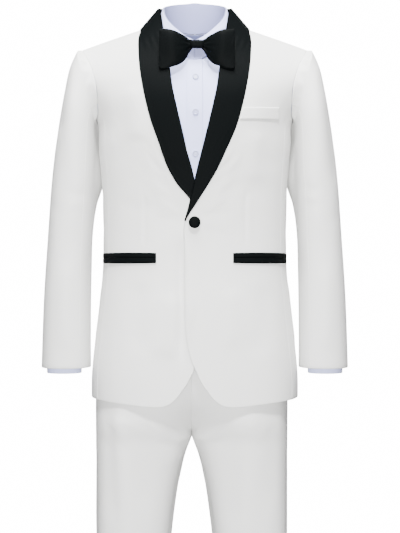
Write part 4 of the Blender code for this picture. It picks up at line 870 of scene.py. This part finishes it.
def build_cloth(row):
    """One piece of cloth: read, refined, folded, reshaped and given its thickness."""
    node, group, thickness, cuts, edge = row[:5]
    thickness *= MM
    outward = FRONT if node in TOWARD_FRONT else None
    points, triangles, ways = outer_sheet(node, thickness, outward)
    fine, small, normals = refine(points, triangles, ways, cuts)
    fine = relaxed(fine, small, 4)
    fine = fine + normals * displaced(fine, normals, (group, node))[:, None]
    fine = piped(node, fine, small, normals)
    for start, reshape in RESHAPED:
        if node.startswith(start):
            fine = reshape(fine)
    wrap = None
    if node.startswith("shawl"):
        side = node[len("shawl"):]
        wrap = roll_depths(fine, small, normals, (("jacket_front" + side, 0.0020),
                                                  ("jacket_collar_stand", 0.0016)))
    made = shell(node + "_cloth", fine, small, normals, thickness, edge * MM, wrap)
    add_piece(made, node)
    SKINS[node] = (fine, small)


# -------- bow tie
# Pleats of a wing fan out from the knot. Columns: degrees up from level, depth and half
# width in mm, how far out they fade, in mm
WING_PLEATS = (
    (24, 1.5, 1.9, 44),
    (8, 1.9, 2.2, 36),
    (-10, 1.2, 1.8, 50),
    (-27, 2.0, 2.3, 40),
    (-42, 1.1, 1.7, 30),
)
WING_TUCK = 0.0065       # how far the wings' roots run in under the knot
WING_TUCK_ENDS = (0.0146, 0.0166)
ROOT_SLIM = (0.38, 0.05)  # how much the root narrows, under and over its middle
WING_WAVE = 0.0012       # depth of the waves near a wing's end
WAVES = 120              # how close they are, in radians for each metre
WING_FULLER = (0.0042, 0.0022)  # how much fuller a wing is beside the knot, under and over


def smooth_solid(node, cuts):
    """A CAD solid's points on a smooth form."""
    points, triangles = welded_mesh(node)
    corners = points[triangles]
    cross = np.cross(corners[:, 1] - corners[:, 0], corners[:, 2] - corners[:, 0])
    ways = np.zeros_like(points)
    for corner in range(3):
        np.add.at(ways, triangles[:, corner], cross)
    fine, small, normals = refine(points, triangles, unit(ways), cuts)
    return relaxed(fine, small, 6), small, normals


def build_wing(node, side):
    """A wing with pleats that run out from the knot. side is 1 for the wearer's left."""
    fine, small, normals = smooth_solid(node, 5)
    out = (fine[:, 0] - BOW_CENTRE[0]) * side
    up = fine[:, 2] - BOW_CENTRE[1]
    reach = np.hypot(out, up)
    facing = np.sign(-normals[:, 1]) * fade(0.1, 0.6, np.abs(normals[:, 1]))
    for degrees, depth, half, gone in WING_PLEATS:
        way = math.radians(degrees)
        off = up * math.cos(way) - out * math.sin(way)
        widen = half * MM * (0.55 + reach / 0.045)
        trough = np.exp(-(off / widen) ** 2) * (1 - fade(0.014, gone * MM, reach))
        fine[:, 1] += depth * MM * trough * facing
    fine[:, 1] += WING_WAVE * np.sin(reach * WAVES) * fade(0.035, 0.06, reach) * (facing > 0)
    pull = 1 - fade(*WING_TUCK_ENDS, out)
    fine[:, 0] -= side * WING_TUCK * pull
    fine[:, 2] -= up * pull * np.where(up < 0, *ROOT_SLIM)
    fuller = fade(0.0146, 0.0185, out) * (1 - fade(0.0220, 0.0480, out)) * (up < 0)
    fine[:, 2] -= WING_FULLER[0] * fuller * fade(0.0, 0.014, -up)
    fuller = fade(0.0146, 0.0200, out) * (1 - fade(0.0200, 0.0350, out))
    fine[:, 2] += WING_FULLER[1] * fuller * fade(0.0, 0.008, up)
    add_piece(make_mesh(node + "_cloth", fine, small), node)


# Columns: where it is from the knot's middle, its lean, half width and depth (m)
KNOT_CREASES = ((-0.0028, 0.25, 0.0011, 0.0007), (0.0049, 0.12, 0.0014, 0.0005))
KNOT_FULLER = 0.0016     # how far its front comes forward
KNOT_WIDER = 0.08        # how much wider it gets, as a share


def build_knot():
    """A strip wound round the middle, with two soft creases."""
    fine, small, normals = smooth_solid("bow_knot", 5)
    x, z = fine[:, 0] - BOW_CENTRE[0], fine[:, 2] - BOW_CENTRE[1]
    front = fade(0.1, 0.7, -normals[:, 1])
    creases = sum(depth * np.exp(-((x - at + lean * z) / half) ** 2)
                  for at, lean, half, depth in KNOT_CREASES)
    fine[:, 1] += front * (creases - KNOT_FULLER)
    fine[:, 0] += KNOT_WIDER * x
    add_piece(make_mesh("bow_knot_cloth", fine, small), "bow_knot")


# -------- buttons
BUTTON_SWELL = 1.04      # how much wider a round button is than its faceted solid
# Profiles: radius and height as shares of the whole
COVERED = ((0, 0), (0.72, 0.0), (0.90, 0.06), (0.985, 0.20), (1.0, 0.34), (0.985, 0.48),
           (0.93, 0.62), (0.80, 0.78), (0.60, 0.90), (0.35, 0.97), (0.15, 0.995), (0, 1.0))
PEARL = ((0, 0), (0.80, 0.0), (0.95, 0.12), (1.0, 0.40), (0.97, 0.75), (0.90, 0.95),
         (0.80, 1.0), (0.70, 0.92), (0.62, 0.70), (0.50, 0.62), (0.30, 0.60), (0, 0.60))
THREAD_RADIUS = 0.00042
THREAD_LIFT = 0.0006     # how high a thread arches
HOLE_OUT = 0.0012        # from a shirt button's middle, sideways; a little more up and down
DISH = 0.60              # height of its dish, as a share


def disc_place(node):
    """A button's middle, its face's direction, its radius and its height."""
    points, _ = welded_mesh(node)
    middle = points.mean(axis=0)
    _, _, rows = np.linalg.svd(points - middle)
    axis = rows[2] if rows[2] @ FRONT > 0 else -rows[2]
    heights = (points - middle) @ axis
    radius = np.linalg.norm(points - middle - heights[:, None] * axis, axis=1).max()
    return middle + axis * heights.min(), axis, radius, np.ptp(heights)


def ring(middle, radius, level, upright, sides):
    """Points round a middle."""
    turns = [2 * math.pi * k / sides for k in range(sides)]
    return [middle + radius * (level * math.cos(turn) + upright * math.sin(turn))
            for turn in turns]


def lathe(base, axis, level, upright, radius, height, profile, sides):
    """Points and triangles of a turned form. profile has rows of (radius, height), as shares
    of the whole, from one end of its axis to the other."""
    points = [base + axis * profile[0][1] * height]
    for share, up in profile[1:-1]:
        points += ring(base + axis * up * height, radius * share, level, upright, sides)
    points.append(base + axis * profile[-1][1] * height)
    last = len(points) - 1
    faces = [(0, 1 + k, 1 + (k + 1) % sides) for k in range(sides)]
    for row in range(len(profile) - 3):
        low = 1 + row * sides
        for k in range(sides):
            a, b = low + k, low + (k + 1) % sides
            faces += [(a, a + sides, b), (b, a + sides, b + sides)]
    faces += [(last, last - sides + (k + 1) % sides, last - sides + k) for k in range(sides)]
    return points, faces


def turned(name, node, profile, sides):
    """A turned form on a button's place."""
    base, axis, radius, height = disc_place(node)
    level = unit(np.cross(axis, np.array((0.0, 0.0, 1.0))))
    upright = np.cross(level, axis)
    form = lathe(base, axis, level, upright, radius * BUTTON_SWELL, height, profile, sides)
    return make_mesh(name, *form), (base, axis, level, upright, height)


def rod(points_of, faces_of, start, end, lift, radius, sides=8, steps=6):
    """Adds to both lists a thread that arches from start to end."""
    start, end = np.asarray(start), np.asarray(end)
    way = unit(end - start)
    lift = np.asarray(lift)
    side = np.cross(way, unit(lift))
    first = len(points_of)
    for step in range(steps + 1):
        t = step / steps
        middle = start + (end - start) * t + lift * math.sin(math.pi * t)
        size = radius * (0.45 if step in (0, steps) else 1)
        points_of += ring(middle, size, side, unit(lift), sides)
    for step in range(steps):
        for k in range(sides):
            a = first + step * sides + k
            b = first + step * sides + (k + 1) % sides
            faces_of += [(a, b, a + sides), (b, b + sides, a + sides)]
    low, high = first, first + steps * sides
    for k in range(1, sides - 1):
        faces_of += [(low, low + k + 1, low + k), (high, high + k, high + k + 1)]


def build_buttons():
    """The covered button, and the pearl ones with two sewn threads each."""
    made, _ = turned("front_button_cloth", "front_button", COVERED, 72)
    add_piece(made, "front_button")
    for number in range(1, 7):
        node = "shirt_button_%d" % number
        made, place = turned(node + "_pearl", node, PEARL, 48)
        add_piece(made, node)
        base, axis, level, upright, height = place
        face = base + axis * height * DISH
        points, faces = [], []
        for side in (-1, 1):
            across = level * side * HOLE_OUT
            rod(points, faces, face + across - upright * HOLE_OUT * 1.05,
                face + across + upright * HOLE_OUT * 1.05, axis * THREAD_LIFT, THREAD_RADIUS)
        thread = make_mesh("shirt_thread_%d" % number, points, faces)
        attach(thread, "root")
        dress(thread, "shirting")


# -------- all pieces
for row in CLOTH:
    build_cloth(row)
build_wing("bow_wing_left", 1)
build_wing("bow_wing_right", -1)
build_knot()
build_buttons()
for name, node in frame["nodes"].items():
    if name not in PIECES:
        dress(node, SLOTS[name])

for row in CLOTH:
    node, held, width, length, area, under = row[0], *row[5:]


# -------- studio
FLOOR_Z = -1.581
FLOOR_RADIUS = 2.9       # it ends before the camera's view reaches it
FLOOR_SIDES = 96
SURROUND_RADIUS = 12.0
WHITE = (1, 1, 1, 1)
# Columns: name, place, target, size, power
LIGHTS = (
    ("key", (0.1, -1.9, 2.5), (0, 0, -0.4), (0.8, 0.6), 300),
    ("front", (0.0, -4.2, -0.6), (0, 0, -0.7), (1.0, 1.4), 190),
    ("top", (-0.1, -0.45, 2.2), (0, 0, 0), (1.2, 0.6), 210),
    ("low", (-0.3, -2.8, -1.3), (-0.1, 0, -0.8), (1.6, 0.8), 100),
    ("back", (0.4, 3.6, 0.6), (0, 0, -0.6), (1.6, 1.6), 170),
)
WORLD_STRENGTH = 0.27
CAMERA_PLACE = (0.0103, -3.0, -0.478)
VIEW_HEIGHT = 1.055      # what the camera sees, on the plane y = 0


def stage_mesh(mesh, material):
    """Puts a mesh of the studio in the scene."""
    mesh.shade_smooth()
    mesh.materials.append(material)
    made = bpy.data.objects.new(mesh.name, mesh)
    bpy.context.scene.collection.objects.link(made)
    return made


def build_floor():
    """A pale round floor that grows lighter outwards, to meet the white around it."""
    material, nodes, links, shader = new_material("paper")
    given(shader, {"Base Color": (0.86, 0.86, 0.86, 1), "Roughness": 0.9,
                   "Emission Color": WHITE})
    place = added(nodes, "NewGeometry")
    length = added(nodes, "VectorMath", operation="LENGTH")
    outward = added(nodes, "MapRange", {"From Min": FLOOR_RADIUS * 0.62,
                                        "From Max": FLOOR_RADIUS * 1.1, "To Max": 14},
                    interpolation_type="SMOOTHSTEP")
    links.new(place.outputs["Position"], length.inputs[0])
    links.new(length.outputs["Value"], outward.inputs["Value"])
    links.new(outward.outputs["Result"], shader.inputs["Emission Strength"])
    turns = [2 * math.pi * k / FLOOR_SIDES for k in range(FLOOR_SIDES)]
    mesh = bpy.data.meshes.new("floor")
    mesh.from_pydata([(FLOOR_RADIUS * math.cos(turn), FLOOR_RADIUS * math.sin(turn), FLOOR_Z)
                      for turn in turns], [], [tuple(range(FLOOR_SIDES))])
    made = stage_mesh(mesh, material)
    made.visible_diffuse = made.visible_glossy = False


def build_surround():
    """The white all round the figure. Only the camera sees it, and it gives no light."""
    material, _, _, shader = new_material("white_surround")
    given(shader, {"Base Color": (0, 0, 0, 1), "Specular IOR Level": 0,
                   "Emission Color": WHITE, "Emission Strength": 16})
    tilts = [math.pi * k / 24 for k in range(25)]
    points, faces = lathe(np.zeros(3), *np.eye(3)[[2, 0, 1]], SURROUND_RADIUS, SURROUND_RADIUS,
                          [(math.sin(tilt), -math.cos(tilt)) for tilt in tilts], 48)
    mesh = bpy.data.meshes.new("surround")
    mesh.from_pydata(np.array(points).tolist(), [], faces)
    made = stage_mesh(mesh, material)
    for ray in ("diffuse", "glossy", "transmission", "volume_scatter", "shadow"):
        setattr(made, "visible_" + ray, False)


def area_light(name, place, target, size, power):
    """A lamp that faces its target."""
    data = bpy.data.lights.new(name, "AREA")
    data.shape = "RECTANGLE"
    data.size, data.size_y = size
    data.energy = power
    made = bpy.data.objects.new(name, data)
    made.location = place
    made.rotation_mode = "QUATERNION"
    made.rotation_quaternion = (Vector(target) - Vector(place)).to_track_quat("-Z", "Y")
    bpy.context.scene.collection.objects.link(made)


build_floor()
build_surround()
world = bpy.data.worlds.new("studio")
bpy.context.scene.world = world
world.use_nodes = True
given(world.node_tree.nodes["Background"], {"Color": WHITE, "Strength": WORLD_STRENGTH})
for light in LIGHTS:
    area_light(*light)

camera_data = bpy.data.cameras.new("camera")
camera = bpy.data.objects.new("camera", camera_data)
bpy.context.scene.collection.objects.link(camera)
camera.location = CAMERA_PLACE
camera.rotation_euler = (math.pi / 2, 0, 0)
camera_data.sensor_fit = "VERTICAL"
camera_data.angle_y = 2 * math.atan(VIEW_HEIGHT / 2 / -CAMERA_PLACE[1])
bpy.context.scene.camera = camera

# -------- the end
bpy.context.view_layer.update()
